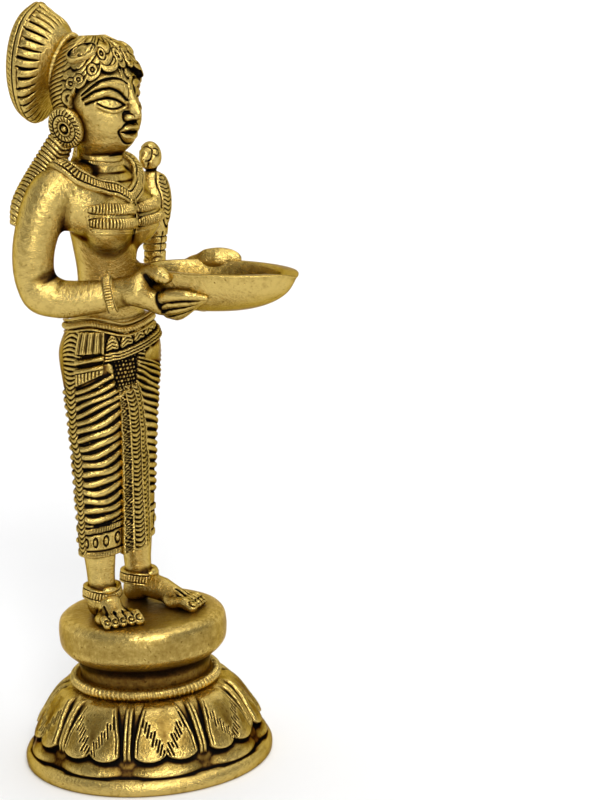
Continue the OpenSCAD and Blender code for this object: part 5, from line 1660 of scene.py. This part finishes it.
def fill_grid(shapes):
    """Share of each cell that is metal."""
    full = np.zeros(GRID_COUNT, np.float32)
    full[:, :, :6] = 1.0
    place = openvdb.createLinearTransform(CELL)
    for points, faces in shapes:
        shape = openvdb.FloatGrid.createLevelSetFromPolygons
        grid = shape(points - GRID_LOW, faces, transform=place, halfWidth=3.0)
        low = np.maximum(np.floor((points.min(0) - GRID_LOW) / CELL).astype(int) - 2, 0)
        high = np.minimum(np.ceil((points.max(0) - GRID_LOW) / CELL).astype(int) + 3, GRID_COUNT)
        part = np.zeros(high - low, np.float32)
        grid.copyToArray(part, ijk=tuple(int(v) for v in low))
        view = full[low[0]:high[0], low[1]:high[1], low[2]:high[2]]
        np.maximum(view, np.clip(0.5 - part / CELL, 0, 1), out=view)
    return full


def blurred(grid, sigma):
    for axis in range(3):
        n = max(1, round(sigma / CELL))
        for _ in range(3):
            pad = [(0, 0)] * 3
            pad[axis] = (n + 1, n)
            total = np.cumsum(np.pad(grid, pad, mode="edge"), axis=axis, dtype=np.float32)
            first, last = [slice(None)] * 3, [slice(None)] * 3
            first[axis], last[axis] = slice(0, -2 * n - 1), slice(2 * n + 1, None)
            grid = (total[tuple(last)] - total[tuple(first)]) / (2 * n + 1)
    return grid


def sample(grid, points):
    at = np.clip((points - GRID_LOW) / CELL, 0, GRID_COUNT - 1.001)
    i = at.astype(int)
    f = at - i
    value = np.zeros(len(points))
    for corner in np.ndindex(2, 2, 2):
        weight = np.prod(np.where(corner, f, 1 - f), axis=1)
        value += weight * grid[tuple((i + corner).T)]
    return value


# %% [markdown]
# For some pieces a table says how dark the metal starts and how much the hollows and the painted shade darken it.
# These numbers set how bright each piece renders under the lamps, so they also paint light and shade: the arms,
# which face the key light, start darker, and the bowl, the plinth and the base take less of the darkening. The
# chased pieces start darker with their patina. The sum is stored on every vertex for the material to read.
# %% Patina and painted shade
# Painted light and shade per piece: the start evens out how bright a piece renders, besides the patina of chased
# pieces
PIECE_TONE = {"plinth": (0.22, 0.2), "oil_bowl": (0.06, 0.1), "lotus_base": (0.29, 0.5), "torso": (0.15, 0.8),
        "right_arm": (0.27, 1.0), "left_arm": (0.27, 1.0)}
DARK = ("skirt", "front_pleat", "girdle", "right_hip_sash", "left_hip_sash", "hair_cap", "necklace", "choker",
        "right_hair_lock", "left_hair_lock")
PIECE_TONE |= {name: (0.31, 1.0) for name in DARK}
REST = (0.2, 1.0)
# Weights of the patina in chased lines and in wide bulges and hollows, and of the painted shade in corners and
# deep places
FINE, BULGE, HOLLOW, CORNER_SHADE, SHADE = 9.0, 2.0, 4.6, 0.8, 0.6
# Blur of the grid, distance from the skin where it is read, and its share of metal off a flat open surface
NEAR_BLUR, NEAR_OFF, NEAR_OPEN = 0.5, 0.35, 0.42
WIDE_BLUR, WIDE_OFF, WIDE_OPEN = 1.5, 0.6, 0.45


def patina_and_shade():
    found = {}
    shapes = []
    for name, (piece, _, _) in MADE.items():
        mesh = piece.data
        points, normals, edges = mesh_arrays(mesh)
        mesh.calc_loop_triangles()
        faces = np.empty(len(mesh.loop_triangles) * 3, np.int32)
        mesh.loop_triangles.foreach_get("vertices", faces)
        shapes.append((points.astype(np.float32), faces.reshape(-1, 3).astype(np.uint32)))
        found[name] = (points, normals, WHOLE.get(name) or hollows(points, normals, edges, HOLLOW_STEPS))
    full = fill_grid(shapes)
    near, wide = blurred(full, NEAR_BLUR), blurred(full, WIDE_BLUR)
    for name, (points, normals, (fine, broad)) in found.items():
        # Painted shade: metal in a corner between pieces or deep among them is darkened as if shaded
        corner = sample(near, points + normals * NEAR_OFF) - NEAR_OPEN
        shade = sample(wide, points + normals * WIDE_OFF) - WIDE_OPEN
        value = FINE * fine + np.where(broad > 0, HOLLOW, BULGE) * np.clip(broad, -0.12, 0.6)
        value = value + CORNER_SHADE * np.clip(corner, -0.12, 0.6) + SHADE * np.clip(shade, -0.1, 0.5)
        start, share = PIECE_TONE.get(name.split(".")[0], REST)
        value = np.clip(start + share * value, 0, 1)
        store = MADE[name][0].data.attributes.new("patina_and_shade", "FLOAT", "POINT")
        store.data.foreach_set("value", value.astype(np.float32))
    print("patina on", len(found), "pieces")


patina_and_shade()

# %% [markdown]
# A white studio. The floor is a sheet that curves up far behind the lamp, so there is no line at the horizon.
# Two wide soft lights stand far off, so the whole sheet is lit alike: one from the front on the left, one from
# above. The rest of the room is dimmer, and the metal shows its form because the surroundings differ.
# %% Stage and lights
VIEW_TURN = math.radians(55)
FLOOR_REACH, BEND_START, BEND_R, FLOOR_TOP = 30.0, 2.2, 1.2, 5.0  # metres


def stage():
    away_from = np.array([math.sin(VIEW_TURN), math.cos(VIEW_TURN)])
    across = np.array([away_from[1], -away_from[0]])
    bend = [(-FLOOR_REACH, 0.0), (BEND_START, 0.0)]
    for a in np.linspace(0.1, math.pi / 2, 14):
        bend.append((BEND_START + BEND_R * math.sin(a), BEND_R - BEND_R * math.cos(a)))
    bend.append((BEND_START + BEND_R, FLOOR_TOP))
    rows = [[(*(away_from * d + across * w), h) for w in (-FLOOR_REACH, FLOOR_REACH)] for d, h in bend]
    mesh = bpy.data.meshes.new("floor")
    n = len(rows)
    quads = [(2 * i, 2 * i + 1, 2 * i + 3, 2 * i + 2) for i in range(n - 1)]
    mesh.from_pydata([p for row in rows for p in row], [], quads)
    mesh.polygons.foreach_set("use_smooth", [True] * (n - 1))
    mat = bpy.data.materials.new("floor")
    mat.use_nodes = True
    fill(mat.node_tree, mat.node_tree.nodes["Principled BSDF"], Base_Color=(0.9, 0.9, 0.9, 1), Roughness=0.9,
         Specular_IOR_Level=0.0)
    mesh.materials.append(mat)
    add_object("floor", mesh)


def soft_sun(name, come_from, wide, strength):
    data = bpy.data.lights.new(name, "SUN")
    data.angle, data.energy = math.radians(wide), strength
    light = add_object(name, data)
    light.rotation_euler = Vector(come_from).to_track_quat("Z", "Y").to_euler()
    print("light", name, "strength", strength)


def sky(strength):
    world = bpy.data.worlds.new("studio")
    scene.world = world
    world.use_nodes = True
    fill(world.node_tree, world.node_tree.nodes["Background"], Color=(1, 1, 1, 1), Strength=strength)


stage()
soft_sun("key", come_from=(-0.85, -0.62, 0.6), wide=20, strength=1.8)
soft_sun("top", come_from=(0.05, -0.25, 1.0), wide=60, strength=1.2)
sky(0.36)

# %% [markdown]
# Every piece rides on the one body of the lamp and stands for its solid. The solids that never show, the stud,
# washer and nut under the base, stay as they are and only get the metal.
# %% Hand over
for piece, stands_for, finish in MADE.values():
    piece.data.materials.clear()
    piece.data.materials.append(FINISH[finish])
    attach(piece, "root")
    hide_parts(*stands_for)

for name in ("fixing_stud", "fixing_washer", "fixing_nut"):
    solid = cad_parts[name].data
    solid.materials.clear()
    solid.materials.append(FINISH["turned_brass"])
